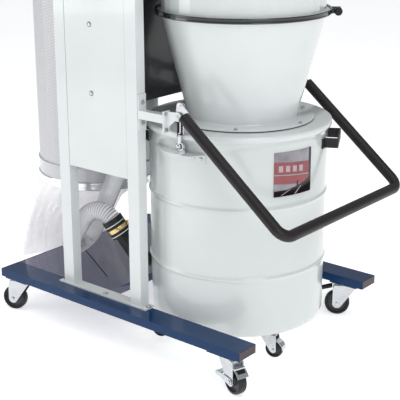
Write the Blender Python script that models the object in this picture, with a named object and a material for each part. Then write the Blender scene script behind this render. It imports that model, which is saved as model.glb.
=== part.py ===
"""Portable two-stage dust collector: a cyclone over a lift-off drum, and a canister filter over a dust bag.

Metres, +Z up. The machine stands on the plane z = 0 with its origin under the middle of its box.
+X points from the filter to the drum, and -Y is the front.
"""

from math import atan2, cos, pi, radians, sin, sqrt

import bmesh
import bpy
from mathutils import Matrix, Vector

# ---------------------------------------------------------------- driving dimensions
GAP = 0.0003  # between pieces that touch
ROUND = 36  # sides of a big turned piece

# base: two box beams joined by a deck
BEAM_X = (-0.471, 0.4515)
BEAM_Y = (0.266, 0.337)
BEAM_Z = (0.1075, 0.132)
SHEET = 0.0025
DECK_X = (-0.469, -0.086)

# upright frames
FOOT_X = (-0.2545, 0.092)
FOOT_Y = (0.257, 0.295)
FOOT_TOP = 0.1365
UPRIGHT_Y = (0.259, 0.291)
LEFT_UPRIGHT_X = (-0.2356, -0.1956)
RIGHT_UPRIGHT_X = (0.0317, 0.0721)
UPRIGHT_TOP = 1.200
PANEL_BOTTOM = 0.503
DIVIDER_X = -0.102
DIVIDER_BOTTOM = 0.664
TOP_PLATE_Z = (1.2003, 1.2063)

# cyclone
CYCLONE = Vector((0.200, 0.0, 0.0))
CONE_Z = (0.6546, 0.9472)
CONE_R = (0.151, 0.2245)
BARREL_Z = (0.9478, 1.2628)
BARREL_R = 0.224
INLET_R = 0.075
INLET_Z = 1.130
INLET_END_Y = -0.325
BAND_Z = (0.9402, 0.9548)
BAND_R = (0.2352, 0.2400)
KNOB_ANGLE = radians(36)
VORTEX_R = 0.085
VORTEX_BOTTOM = 1.020
VOLUTE_Z = (1.2667, 1.3767)
VOLUTE_R = (0.130, 0.172)  # scroll radius where it starts and where it ends
VOLUTE_END_X = -0.030
MOTOR_R = 0.085
MOTOR_TOP = 1.655

# drum and lid
DRUM = Vector((0.186, 0.0, 0.0))
DRUM_R = 0.250
DRUM_BOTTOM = 0.0865
DRUM_TOP = 0.6470
BEAD_Z = (0.256, 0.450)
LID_Z = (0.6365, 0.6522)
LID_R = 0.2605
WINDOW_ANGLE = (radians(-30.6), radians(-2.4))
WINDOW_Z = (0.485, 0.605)
STRAP_Z = (0.5845, 0.6115)
STRAP_ANGLE = radians(28.9)
STRAP_HALF = 0.060  # half the width over the arms
STRAP_REACH = 0.2834  # the grip's outer face, from the drum's axis
STRAP_THICK = 0.004
STRAP_FOOT = 0.014

# drum lift
PIVOT = Vector((0.204, 0.272, 0.700))  # mirrored to the front
LIFT_PIN = Vector((0.206, 0.272, 0.727))
TAB_PIN = Vector((0.200, 0.272, 0.6186))
HANDLE_END = Vector((0.226, 0.283, 0.704))
HANDLE_CORNER = Vector((0.545, 0.283, 0.446))
HANDLE_R = 0.015
HANDLE_BEND = 0.034
TAB_Z = (0.5985, 0.6015)

# filter canister
CANISTER = Vector((-0.366, 0.0, 0.0))
CANISTER_R = 0.188
CANISTER_Z = (0.3785, 1.1295)
MESH_BOTTOM = 0.4496
HEAD_Z = (1.1300, 1.395)
HEAD_R = 0.190
CLAMP_Z = (0.380, 0.405)
CLAMP_R = (0.1905, 0.194)
DUCT_Y = (0.060, 0.172)
DUCT_Z = (1.280, 1.364)
BAG_TOP = 0.3775
BAG_R = 0.186
BAG_FOOT = [  # where the slumped bag meets the deck, about the canister's axis, every 30 degrees from +X
    (-0.092, 0.010), (-0.090, 0.062), (-0.088, 0.110), (-0.100, 0.150), (-0.132, 0.158), (-0.165, 0.105),
    (-0.183, 0.030), (-0.188, -0.085), (-0.183, -0.188), (-0.148, -0.130), (-0.115, -0.085), (-0.096, -0.040),
]

# casters: (pivot x, pivot y, direction of the trail)
WHEEL_R = 0.038
WHEEL_HALF = 0.0125
CASTER_TRAIL = 0.033
CASTERS = {
    "front_left": (-0.409, -0.301, radians(-160)),
    "front_right": (0.389, -0.301, radians(-18)),
    "rear_left": (-0.409, 0.301, radians(170)),
    "rear_right": (0.383, 0.301, radians(-148)),
}
SMALL_WHEEL_R = 0.025
SMALL_WHEEL_HALF = 0.010
SMALL_WHEEL_Z = 0.040
SMALL_TRAIL = 0.024
SMALL_PIVOT_R = 0.213
SMALL_CASTERS = {
    "front_right": (radians(-29.5), radians(12)),
    "front_left": (radians(-118), radians(-157)),
    "rear_left": (radians(152), radians(180)),
    "rear_right": (radians(62), radians(20)),
}

# hold-down hose, from the spigot under the top plate to the cuff at the drum
HOSE_R = 0.0275
HOSE_ROUTE = [
    (-0.0490, -0.2000, 1.1500),
    (-0.0490, -0.2000, 1.0500),
    (-0.0510, -0.2020, 0.9000),
    (-0.0560, -0.2040, 0.7400),
    (-0.0629, -0.2032, 0.6327),
    (-0.0765, -0.1999, 0.5461),
    (-0.1010, -0.1935, 0.4780),
    (-0.1380, -0.1820, 0.4190),
    (-0.1800, -0.1660, 0.3620),
    (-0.2225, -0.1500, 0.3045),
    (-0.2640, -0.1430, 0.2440),
    (-0.2773, -0.1510, 0.2232),
    (-0.2856, -0.1720, 0.2104),
    (-0.2856, -0.1980, 0.2104),
    (-0.2773, -0.2190, 0.2232),
    (-0.2640, -0.2270, 0.2440),
    (-0.2290, -0.2275, 0.2960),
    (-0.1995, -0.2275, 0.3330),
    (-0.1640, -0.2262, 0.3550),
    (-0.1320, -0.2225, 0.3560),
    (-0.1086, -0.2175, 0.3421),
    (-0.0996, -0.2130, 0.3272),
]
CUFF_TOP = Vector((-0.0996, -0.2130, 0.3272))
CUFF_AXIS = Vector((0.50, 0.25, -0.83)).normalized()
CUFF_LENGTH = 0.040
PORT_R = 0.0215
PORT_CORNER = Vector((-0.0363, -0.1813, 0.2220))  # where the nozzle's two axes meet

WHITE = ("white_paint", (0.80, 0.83, 0.82), 0.22, 0.0)
BLUE = ("blue_paint", (0.03, 0.07, 0.20), 0.20, 0.0)
DARK = ("dark_grey_paint", (0.05, 0.05, 0.055), 0.25, 0.0)
BLACK_TUBE = ("black_powder_coat", (0.03, 0.03, 0.032), 0.40, 0.0)
BLACK_PLASTIC = ("black_plastic", (0.02, 0.02, 0.02), 0.45, 0.0)
ZINC = ("zinc_plate", (0.72, 0.73, 0.74), 0.30, 1.0)
MESH_METAL = ("perforated_steel", (0.55, 0.55, 0.57), 0.40, 0.8)
RUBBER = ("black_rubber", (0.03, 0.03, 0.03), 0.60, 0.0)
PAPER = ("filter_paper", (0.80, 0.78, 0.72), 0.90, 0.0)
CLEAR = ("clear_film", (0.85, 0.85, 0.88), 0.30, 0.0)
HOSE = ("clear_hose", (0.70, 0.70, 0.72), 0.30, 0.0)
CAST = ("cast_aluminium", (0.60, 0.61, 0.62), 0.45, 1.0)
RED = ("red_plastic", (0.65, 0.03, 0.03), 0.35, 0.0)


# ---------------------------------------------------------------- modelling helpers
def material(spec):
    name, colour, roughness, metallic = spec
    found = bpy.data.materials.get(name)
    if found:
        return found
    made = bpy.data.materials.new(name)
    made.use_nodes = True
    shader = made.node_tree.nodes["Principled BSDF"]
    shader.inputs["Base Color"].default_value = (*colour, 1.0)
    shader.inputs["Roughness"].default_value = roughness
    shader.inputs["Metallic"].default_value = metallic
    return made


def finish_object(name, bm, spec, origin=None, smooth=30):
    """Turns a bmesh in world coordinates into an object whose origin is at the given point."""
    bmesh.ops.recalc_face_normals(bm, faces=bm.faces)
    mesh = bpy.data.meshes.new(name)
    bm.to_mesh(mesh)
    bm.free()
    obj = bpy.data.objects.new(name, mesh)
    bpy.context.collection.objects.link(obj)
    if origin is not None:
        mesh.transform(Matrix.Translation(-Vector(origin)))
        obj.location = origin
    if smooth:
        mesh.shade_smooth()
        mesh.set_sharp_from_angle(angle=radians(smooth))
    if spec:
        mesh.materials.append(material(spec))
    return obj


def add_revolved(bm, profile, segments, place=None, closed=True):
    """Adds a turned solid about local Z: a ring, or an open profile that starts and ends on the axis."""
    place = place or Matrix.Identity(4)
    rings = []
    for radius, height in profile:
        if radius == 0:
            rings.append([bm.verts.new(place @ Vector((0, 0, height)))])
            continue
        rings.append([
            bm.verts.new(place @ Vector((radius * cos(a), radius * sin(a), height)))
            for a in (2 * pi * i / segments for i in range(segments))
        ])
    pairs = list(zip(rings, rings[1:]))
    if closed:
        pairs.append((rings[-1], rings[0]))
    for low, high in pairs:
        for i in range(segments):
            j = (i + 1) % segments
            corners = [low[i % len(low)], low[j % len(low)], high[j % len(high)], high[i % len(high)]]
            unique = list(dict.fromkeys(corners))
            if len(unique) > 2:
                bm.faces.new(unique)


def add_prism(bm, outline, low, high, place=None):
    """Adds an extruded outline: local XY points, from low to high along local Z."""
    place = place or Matrix.Identity(4)
    bottom = [bm.verts.new(place @ Vector((x, y, low))) for x, y in outline]
    top = [bm.verts.new(place @ Vector((x, y, high))) for x, y in outline]
    bm.faces.new(bottom[::-1])
    bm.faces.new(top)
    for i in range(len(outline)):
        j = (i + 1) % len(outline)
        bm.faces.new((bottom[i], bottom[j], top[j], top[i]))


def add_box(bm, low, high, place=None):
    outline = [(low[0], low[1]), (high[0], low[1]), (high[0], high[1]), (low[0], high[1])]
    add_prism(bm, outline, low[2], high[2], place)


def add_sweep(bm, points, radius, sides, bore=0.0):
    """Adds a round bar along a path, or a pipe when it has a bore."""
    points = [Vector(p) for p in points]
    tangents = []
    for i in range(len(points)):
        before, after = points[max(i - 1, 0)], points[min(i + 1, len(points) - 1)]
        tangents.append((after - before).normalized())
    normal = tangents[0].orthogonal().normalized()
    loops = {radius: [], bore: []} if bore else {radius: []}
    for point, tangent in zip(points, tangents):
        normal = (normal - tangent * normal.dot(tangent)).normalized()
        side = tangent.cross(normal)
        for size, rows in loops.items():
            rows.append([
                bm.verts.new(point + (normal * cos(a) + side * sin(a)) * size)
                for a in (2 * pi * i / sides for i in range(sides))
            ])
    for rows in loops.values():
        for low, high in zip(rows, rows[1:]):
            for i in range(sides):
                j = (i + 1) % sides
                bm.faces.new((low[i], low[j], high[j], high[i]))
    for end in (0, -1):
        if bore:
            outer, inner = loops[radius][end], loops[bore][end]
            for i in range(sides):
                j = (i + 1) % sides
                bm.faces.new((outer[i], outer[j], inner[j], inner[i]))
        else:
            bm.faces.new(loops[radius][end])


def arc(centre, radius, start, end, steps):
    """Points on an arc, from one angle to the other."""
    return [
        (centre[0] + radius * cos(a), centre[1] + radius * sin(a))
        for a in (start + (end - start) * i / steps for i in range(steps + 1))
    ]


def open_box(name, low, high, wall, open_axis, open_sign, spec):
    """A sheet-metal box with one side missing, such as a panel with folded edges."""
    bm = bmesh.new()
    add_box(bm, low, high)
    shell = finish_object(name, bm, spec, smooth=0)
    inner_low = [v + wall for v in low]
    inner_high = [v - wall for v in high]
    if open_sign > 0:
        inner_high[open_axis] = high[open_axis] + wall
    else:
        inner_low[open_axis] = low[open_axis] - wall
    cavity = bmesh.new()
    add_box(cavity, inner_low, inner_high)
    carve(shell, tool(name + "_cavity", cavity))
    return shell


def tool(name, bm):
    """A hidden solid that cuts another piece or is welded into it."""
    made = finish_object(name, bm, None, smooth=0)
    made.hide_render = True
    made.display_type = "WIRE"
    return made


def boolean(target, operand, operation):
    made = target.modifiers.new(operand.name, "BOOLEAN")
    made.operation = operation
    made.object = operand
    made.solver = "EXACT"


def carve(target, cutter):
    boolean(target, cutter, "DIFFERENCE")


def weld(target, piece):
    boolean(target, piece, "UNION")


def upright_plane(y):
    """Local XY becomes world XZ, and local Z becomes world -Y, from the plane at y."""
    return Matrix(((1, 0, 0, 0), (0, 0, -1, y), (0, 1, 0, 0), (0, 0, 0, 1)))


def at(centre):
    return Matrix.Translation(centre)


def on_axis(centre, direction):
    """Places local Z along a direction, with the local origin at the centre."""
    turn = Vector(direction).to_track_quat("Z", "Y").to_matrix().to_4x4()
    return Matrix.Translation(centre) @ turn


def smooth_path(points, per_span):
    """A smooth curve through the points."""
    points = [Vector(p) for p in points]
    padded = [points[0] * 2 - points[1], *points, points[-1] * 2 - points[-2]]
    path = []
    for a, b, c, d in zip(padded, padded[1:], padded[2:], padded[3:]):
        for i in range(per_span):
            t = i / per_span
            path.append(0.5 * (
                2 * b + (c - a) * t + (2 * a - 5 * b + 4 * c - d) * t * t + (3 * b - a - 3 * c + d) * t ** 3
            ))
    path.append(points[-1])
    return path


# ---------------------------------------------------------------- base and frame
def base_beam(side_name, side):
    """A box beam with folded ends, open below, with a plate for each caster."""
    y = sorted((side * BEAM_Y[0], side * BEAM_Y[1]))
    beam = open_box(
        f"base_beam_{side_name}", (BEAM_X[0], y[0], BEAM_Z[0]), (BEAM_X[1], y[1], BEAM_Z[1]),
        SHEET, 2, -1, BLUE,
    )
    plates = bmesh.new()
    for name, (x, caster_y, _) in CASTERS.items():
        if caster_y * side > 0:
            add_box(
                plates, (x - 0.046, caster_y - 0.0345, 0.1035),
                (x + 0.046, caster_y + 0.0345, BEAM_Z[0] + 0.001),
            )
    weld(beam, tool(f"caster_plates_{side_name}", plates))


def base_deck():
    inner = BEAM_Y[0] - GAP
    open_box(
        "base_deck", (DECK_X[0], -inner, BEAM_Z[0]), (DECK_X[1], inner, BEAM_Z[1] - 0.0002), SHEET, 2, -1,
        BLUE,
    )


def upright_frame(side_name, side):
    """Two square tubes welded to a foot plate. The tubes are open at the top, under the top plate."""
    foot_y = sorted((side * FOOT_Y[0], side * FOOT_Y[1]))
    tube_y = sorted((side * UPRIGHT_Y[0], side * UPRIGHT_Y[1]))
    wall = 0.002
    bm = bmesh.new()
    add_box(bm, (FOOT_X[0], foot_y[0], BEAM_Z[1] + GAP), (FOOT_X[1], foot_y[1], FOOT_TOP))
    frame = finish_object(f"upright_frame_{side_name}", bm, WHITE, smooth=0)
    tubes, bores = bmesh.new(), bmesh.new()
    for x in (LEFT_UPRIGHT_X, RIGHT_UPRIGHT_X):
        add_box(tubes, (x[0], tube_y[0], FOOT_TOP - 0.002), (x[1], tube_y[1], UPRIGHT_TOP))
        add_box(
            bores, (x[0] + wall, tube_y[0] + wall, FOOT_TOP),
            (x[1] - wall, tube_y[1] - wall, UPRIGHT_TOP + wall),
        )
    weld(frame, tool(f"tubes_{side_name}", tubes))
    carve(frame, tool(f"tube_bores_{side_name}", bores))


def panels():
    """Front and rear covers between the uprights, folded inwards, and the divider between them."""
    x = (LEFT_UPRIGHT_X[1] + GAP, RIGHT_UPRIGHT_X[0] - GAP)
    top = UPRIGHT_TOP - 0.002
    face, back = 0.2902, 0.262
    open_box("front_panel", (x[0], -face, PANEL_BOTTOM), (x[1], -back, top), 0.002, 1, 1, WHITE)
    open_box("rear_panel", (x[0], back, PANEL_BOTTOM), (x[1], face, top), 0.002, 1, -1, WHITE)
    bm = bmesh.new()
    inner = back - GAP
    add_box(bm, (DIVIDER_X - 0.001, -inner, DIVIDER_BOTTOM), (DIVIDER_X + 0.001, inner, top))
    finish_object("divider_panel", bm, DARK, smooth=0)


def top_plate():
    """Plate on the uprights, notched round the barrel and the canister head, with the hose spigot below."""
    x_left, x_right, half = -0.240, 0.300, UPRIGHT_Y[1]
    barrel_notch = BARREL_R + 0.0025
    head_notch = HEAD_R + 0.0015
    barrel_turn = atan2((barrel_notch ** 2 - (x_right - CYCLONE.x) ** 2) ** 0.5, x_right - CYCLONE.x)
    head_turn = atan2((head_notch ** 2 - (x_left - CANISTER.x) ** 2) ** 0.5, x_left - CANISTER.x)
    outline = [(x_left, -half), (x_right, -half)]
    outline += arc(CYCLONE, barrel_notch, -barrel_turn, barrel_turn - 2 * pi, 30)
    outline += [(x_right, half), (x_left, half)]
    outline += arc(CANISTER, head_notch, head_turn, -head_turn, 10)
    bm = bmesh.new()
    add_prism(bm, outline, *TOP_PLATE_Z)
    plate = finish_object("top_plate", bm, WHITE, smooth=0)
    spigot = bmesh.new()
    top = Vector(HOSE_ROUTE[0])
    ring = [(HOSE_R, GAP), (HOSE_R, 0.052), (HOSE_R - 0.003, 0.052), (HOSE_R - 0.003, GAP)]
    add_revolved(spigot, ring, 16, at(top))
    weld(plate, tool("hose_spigot", spigot))


# ---------------------------------------------------------------- cyclone
def cyclone_barrel():
    wall = 0.002
    inner = BARREL_R - wall
    flange_rest = TOP_PLATE_Z[1] + GAP
    profile = [
        (BAND_R[0] - 0.0007, BARREL_Z[0]), (BAND_R[0] - 0.0007, BARREL_Z[0] + 0.003),
        (BARREL_R, BARREL_Z[0] + 0.003),
        (BARREL_R, flange_rest), (BARREL_R + 0.012, flange_rest), (BARREL_R + 0.012, flange_rest + 0.004),
        (BARREL_R, flange_rest + 0.004), (BARREL_R, BARREL_Z[1] - 0.003),
        (BARREL_R + 0.008, BARREL_Z[1] - 0.003),
        (BARREL_R + 0.008, BARREL_Z[1]), (inner, BARREL_Z[1]), (inner, BARREL_Z[0]),
    ]
    bm = bmesh.new()
    add_revolved(bm, profile, ROUND, at(CYCLONE))
    barrel = finish_object("cyclone_barrel", bm, WHITE)
    # the inlet pipe runs to the front, tangent to the barrel's far side
    inlet = Vector((CYCLONE.x + BARREL_R - INLET_R - 0.0015, -0.023, INLET_Z))
    forward = on_axis(inlet, (0, -1, 0))
    length = -0.023 - INLET_END_Y
    pipe, room, bore = bmesh.new(), bmesh.new(), bmesh.new()
    rim = [
        (0, 0), (INLET_R, 0), (INLET_R, length - 0.012), (INLET_R + 0.004, length - 0.006),
        (INLET_R, length), (0, length),
    ]
    add_revolved(pipe, rim, 20, forward, closed=False)
    add_revolved(room, [(0, 0.94), (inner, 0.94), (inner, 1.27), (0, 1.27)], ROUND, at(CYCLONE), closed=False)
    bore_r = INLET_R - 0.0025
    add_revolved(
        bore, [(0, -0.02), (bore_r, -0.02), (bore_r, length + 0.01), (0, length + 0.01)], 20, forward,
        closed=False,
    )
    weld(barrel, tool("inlet_pipe", pipe))
    carve(barrel, tool("barrel_room", room))
    carve(barrel, tool("inlet_bore", bore))


def vortex_tube():
    """Cover plate over the barrel, with the tube that draws the cleaned air up into the fan."""
    low, high = BARREL_Z[1] + 0.0005, VOLUTE_Z[0] - 0.0005
    profile = [
        (VORTEX_R, VORTEX_BOTTOM), (VORTEX_R, low), (BARREL_R + 0.008, low), (BARREL_R + 0.008, high),
        (VORTEX_R - 0.002, high), (VORTEX_R - 0.002, VORTEX_BOTTOM),
    ]
    bm = bmesh.new()
    add_revolved(bm, profile, 36, at(CYCLONE))
    finish_object("vortex_tube", bm, WHITE)


def clamp_band():
    """Black band round the joint of barrel and cone, with two lugs for the latch bolt."""
    bm = bmesh.new()
    add_revolved(bm, [(r, z) for r, z in (
        (BAND_R[0], BAND_Z[0]), (BAND_R[1], BAND_Z[0]), (BAND_R[1], BAND_Z[1]), (BAND_R[0], BAND_Z[1])
    )], ROUND, at(CYCLONE))
    band = finish_object("clamp_band", bm, BLACK_TUBE)
    lugs = bmesh.new()
    for shift in (-0.020, 0.010):
        turned = at(CYCLONE) @ Matrix.Rotation(KNOB_ANGLE, 4, "Z")
        add_box(
            lugs, (BAND_R[1] - 0.002, shift - 0.004, BAND_Z[0]),
            (BAND_R[1] + 0.024, shift + 0.004, BAND_Z[1]), turned,
        )
    weld(band, tool("band_lugs", lugs))


def clamp_knob():
    """Knob and bolt that draw the band tight. It turns on the bolt, which lies along the band."""
    outwards = Vector((cos(KNOB_ANGLE), sin(KNOB_ANGLE), 0))
    along = Vector((sin(KNOB_ANGLE), -cos(KNOB_ANGLE), 0))
    centre = CYCLONE + outwards * (BAND_R[1] + 0.014) + Vector((0, 0, sum(BAND_Z) / 2)) + along * 0.0245
    profile = [(0, 0), (0.008, 0), (0.011, 0.003), (0.011, 0.016), (0.008, 0.019), (0, 0.019)]
    bm = bmesh.new()
    add_revolved(bm, profile, 14, on_axis(centre, along), closed=False)
    finish_object("clamp_knob", bm, BLACK_PLASTIC, origin=centre)
    return centre, along


def cyclone_cone():
    low, high = CONE_Z
    flange = BAND_R[0] - 0.0007
    profile = [
        (CONE_R[0] - 0.002, low), (0.200, low), (0.200, low + 0.004), (CONE_R[0] + 0.001, low + 0.004),
        (CONE_R[1], high - 0.003), (flange, high - 0.003), (flange, high), (CONE_R[1] - 0.002, high),
    ]
    bm = bmesh.new()
    add_revolved(bm, profile, ROUND, at(CYCLONE))
    finish_object("cyclone_cone", bm, WHITE)


def volute_outline(inset):
    """A scroll that widens as it turns and leaves in a straight outlet towards the filter."""
    start, end = radians(-205), radians(90)
    turns = 26
    points = []
    for i in range(turns + 1):
        angle = start + (end - start) * i / turns
        radius = VOLUTE_R[0] + (VOLUTE_R[1] - VOLUTE_R[0]) * (angle + radians(270)) / (2 * pi) - inset
        points.append((CYCLONE.x + radius * cos(angle), radius * sin(angle)))
    reach = VOLUTE_END_X - (0.01 if inset else 0)
    points += [(reach, VOLUTE_R[1] - inset), (reach, DUCT_Y[0] + inset)]
    return points


def fan_housing():
    wall = 0.0025
    bm = bmesh.new()
    add_prism(bm, volute_outline(0), *VOLUTE_Z)
    housing = finish_object("fan_housing", bm, WHITE)
    room, eye = bmesh.new(), bmesh.new()
    add_prism(room, volute_outline(wall), VOLUTE_Z[0] + wall, VOLUTE_Z[1] - wall)
    add_revolved(eye, [(0, 1.26), (0.078, 1.26), (0.078, 1.272), (0, 1.272)], 24, at(CYCLONE), closed=False)
    carve(housing, tool("volute_room", room))
    carve(housing, tool("volute_eye", eye))
    shaft_hole = bmesh.new()
    add_revolved(
        shaft_hole, [(0, 1.37), (0.020, 1.37), (0.020, 1.38), (0, 1.38)], 16, at(CYCLONE), closed=False,
    )
    carve(housing, tool("shaft_hole", shaft_hole))


def impeller():
    """Back plate, hub, shaft and eight swept blades in one piece."""
    profile = [
        (0, 1.290), (0.022, 1.290), (0.022, 1.352), (0.115, 1.352),
        (0.115, 1.355), (0.012, 1.355), (0.012, 1.440), (0, 1.440),
    ]
    bm = bmesh.new()
    add_revolved(bm, profile, 24, at(CYCLONE), closed=False)
    wheel = finish_object("impeller", bm, CAST, origin=CYCLONE + Vector((0, 0, 1.32)))
    blades = bmesh.new()
    for i in range(8):
        turned = at(CYCLONE) @ Matrix.Rotation(2 * pi * i / 8, 4, "Z")
        turned = turned @ at((0.068, 0, 0)) @ Matrix.Rotation(radians(25), 4, "Z")
        add_box(blades, (-0.044, -0.0015, 1.292), (0.044, 0.0015, 1.353), turned)
    weld(wheel, tool("impeller_blades", blades))


def motor():
    """Finned motor over the fan: its cowl, a blind bore for the shaft and a terminal box in front."""
    low = VOLUTE_Z[1] + GAP
    profile = [
        (0.0150, low), (0.105, low), (0.105, low + 0.008), (MOTOR_R, low + 0.014),
        (MOTOR_R, MOTOR_TOP - 0.050),
        (MOTOR_R + 0.004, MOTOR_TOP - 0.048), (MOTOR_R + 0.004, MOTOR_TOP - 0.008),
        (MOTOR_R - 0.008, MOTOR_TOP),
        (0, MOTOR_TOP), (0, 1.450), (0.0150, 1.450),
    ]
    bm = bmesh.new()
    add_revolved(bm, profile, 28, at(CYCLONE))
    body = finish_object("motor", bm, DARK)
    terminal = bmesh.new()
    add_box(terminal, (CYCLONE.x - 0.045, -0.125, 1.46), (CYCLONE.x + 0.045, -0.070, 1.55))
    weld(body, tool("terminal_box", terminal))


# ---------------------------------------------------------------- drum, lid and lift
def drum_lid():
    skin = 0.002
    profile = [
        (0.166, LID_Z[1] - skin), (LID_R - 0.005, LID_Z[1] - skin), (LID_R - skin - 0.0003, LID_Z[1] - 0.005),
        (LID_R - skin - 0.0003, LID_Z[0]), (LID_R, LID_Z[0]), (LID_R, LID_Z[1] - 0.0042),
        (LID_R - 0.0015, LID_Z[1] - 0.0012),
        (LID_R - 0.0050, LID_Z[1]), (0.166, LID_Z[1]),
    ]
    bm = bmesh.new()
    add_revolved(bm, profile, ROUND, at(DRUM))
    finish_object("drum_lid", bm, WHITE)


def drum():
    """Open steel drum with two rolled beads, its lift tabs and the plates of its small casters."""
    r = DRUM_R
    profile = [(0, 0.0955), (0.230, 0.0955), (0.235, DRUM_BOTTOM), (0.2425, DRUM_BOTTOM), (r - 0.0025, 0.097)]
    for bead in BEAD_Z:
        profile += [(r - 0.0005, bead - 0.008), (r + 0.0025, bead), (r - 0.0005, bead + 0.008)]
    profile += [
        (r, DRUM_TOP - 0.019), (r + 0.0055, DRUM_TOP - 0.014), (r + 0.0060, DRUM_TOP - 0.004),
        (r + 0.003, DRUM_TOP),
        (r - 0.001, DRUM_TOP - 0.004), (r - 0.003, DRUM_TOP - 0.020), (r - 0.004, 0.108), (0.236, 0.0985),
        (0, 0.0985),
    ]
    bm = bmesh.new()
    add_revolved(bm, profile, ROUND, at(DRUM), closed=False)
    shell = finish_object("drum", bm, WHITE, origin=DRUM + Vector((0, 0, DRUM_BOTTOM)))
    plates = bmesh.new()
    for angle, _ in SMALL_CASTERS.values():
        turned = at(DRUM) @ Matrix.Rotation(angle, 4, "Z")
        add_box(
            plates, (SMALL_PIVOT_R - 0.026, -0.021, 0.0885), (SMALL_PIVOT_R + 0.018, 0.021, 0.0960), turned,
        )
    weld(shell, tool("small_caster_plates", plates))
    tabs = bmesh.new()
    inner = arc((0, 0), r - 0.0005, radians(-73), radians(-112), 6)
    outline = [(0.078, -0.2455), (0.046, -0.284), (-0.030, -0.284), (-0.098, -0.2375)]
    outline = inner + outline[::-1]
    add_prism(tabs, outline, *TAB_Z, at(DRUM))
    add_prism(tabs, [(x, -y) for x, y in outline[::-1]], *TAB_Z, at(DRUM))
    weld(shell, tool("lift_tabs", tabs))
    ears = bmesh.new()
    for side in (-1, 1):
        ear_y = sorted((side * 0.2560, side * 0.2590))
        add_box(
            ears, (TAB_PIN.x - 0.009, ear_y[0], TAB_Z[1] - 0.001),
            (TAB_PIN.x + 0.009, ear_y[1], TAB_PIN.z + 0.007),
        )
    weld(shell, tool("lift_tab_ears", ears))
    pins = bmesh.new()
    for side in (-1, 1):
        start = Vector((TAB_PIN.x, side * 0.2585, TAB_PIN.z))
        add_revolved(
            pins, [(0, 0), (0.003, 0), (0.003, 0.0145), (0, 0.0145)], 10, on_axis(start, (0, side, 0)),
            closed=False,
        )
    weld(shell, tool("lift_tab_pins", pins))


def level_window():
    """Curved window frame on the front of the drum."""
    bm = bmesh.new()
    outline = arc((0, 0), DRUM_R + 0.0042, *WINDOW_ANGLE, 8)
    outline += arc((0, 0), DRUM_R + 0.0008, WINDOW_ANGLE[1], WINDOW_ANGLE[0], 8)
    add_prism(bm, outline, *WINDOW_Z, at(DRUM))
    finish_object("level_window", bm, BLACK_PLASTIC)


def drum_handle(name, middle):
    """Flat strap bent into a U with square corners, its feet turned outward against the drum."""
    r_in = DRUM_R + 0.0008
    half, thick, reach, foot = STRAP_HALF, STRAP_THICK, STRAP_REACH, STRAP_FOOT

    def wall(radius, y):
        return sqrt(radius * radius - y * y)

    outer = [
        (wall(r_in, half + foot), half + foot),
        (wall(r_in + thick, half + foot), half + foot),
        (wall(r_in + thick, half + foot * 0.5), half + foot * 0.5),
        (wall(r_in + thick, half), half),
        (reach - thick, half),
        (reach - thick * 0.3, half - thick * 0.3),
        (reach, half - thick),
    ]
    inner = [
        (reach - thick, half - thick),
        (wall(r_in, half - thick), half - thick),
        (wall(r_in, half + foot * 0.4), half + foot * 0.4),
    ]
    outline = outer + [(x, -y) for x, y in outer[::-1]]
    outline += [(x, -y) for x, y in inner[::-1]] + inner
    bm = bmesh.new()
    add_prism(bm, outline, *STRAP_Z, at(DRUM) @ Matrix.Rotation(middle, 4, "Z"))
    finish_object(name, bm, BLACK_PLASTIC)


def pivot_bracket(side_name, side):
    """Plate on the upright, square arm, flange and ear that carry the handle's pivot pin."""
    mirror = Matrix.Diagonal((1, -side, 1, 1))  # drawn on the front, at -y
    plate_x = RIGHT_UPRIGHT_X[1] + GAP
    bm = bmesh.new()
    add_box(bm, (plate_x, -0.2890, 0.644), (plate_x + 0.004, -0.2600, 0.743), mirror)
    bracket = finish_object(f"pivot_bracket_{side_name}", bm, WHITE, smooth=0)
    arm, flange, ear, pin = (bmesh.new() for _ in range(4))
    add_box(arm, (plate_x + 0.003, -0.2910, 0.6785), (0.1640, -0.2690, 0.7010), mirror)
    add_box(flange, (0.1630, -0.2925, 0.654), (0.1670, -0.2675, 0.711), mirror)
    outline = [(0.1660, 0.6620), (0.1950, 0.6885)]
    outline += arc((PIVOT.x, PIVOT.z), 0.012, radians(-75), radians(85), 6)
    outline += [(0.1660, 0.7095)]
    add_prism(ear, outline, 0, 0.004, mirror @ upright_plane(-0.2778))
    add_revolved(
        pin, [(0, 0), (0.005, 0), (0.005, 0.012), (0, 0.012)], 12,
        mirror @ on_axis((PIVOT.x, -0.2785, PIVOT.z), (0, 1, 0)), closed=False,
    )
    for piece_name, piece in (("arm", arm), ("flange", flange), ("ear", ear), ("pin", pin)):
        weld(bracket, tool(f"bracket_{piece_name}_{side_name}", piece))


def lift_handle():
    """U-shaped tube: down each arm and round a bend into the crossbar."""
    def arm_points(side):
        end = Vector((HANDLE_END.x, side * HANDLE_END.y, HANDLE_END.z))
        corner = Vector((HANDLE_CORNER.x, side * HANDLE_CORNER.y, HANDLE_CORNER.z))
        down = (corner - end).normalized()
        across = Vector((0, -side, 0))
        centre = corner - down * HANDLE_BEND + across * HANDLE_BEND
        bend = [
            centre - across * HANDLE_BEND * cos(a) + down * HANDLE_BEND * sin(a)
            for a in (pi / 10 * i for i in range(6))
        ]
        return [end + down * GAP, *bend]
    points = arm_points(-1) + arm_points(1)[::-1]
    bm = bmesh.new()
    add_sweep(bm, points, HANDLE_R, 12, bore=HANDLE_R - 0.002)
    finish_object("lift_handle", bm, BLACK_TUBE, origin=(PIVOT.x, 0, PIVOT.z))


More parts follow.
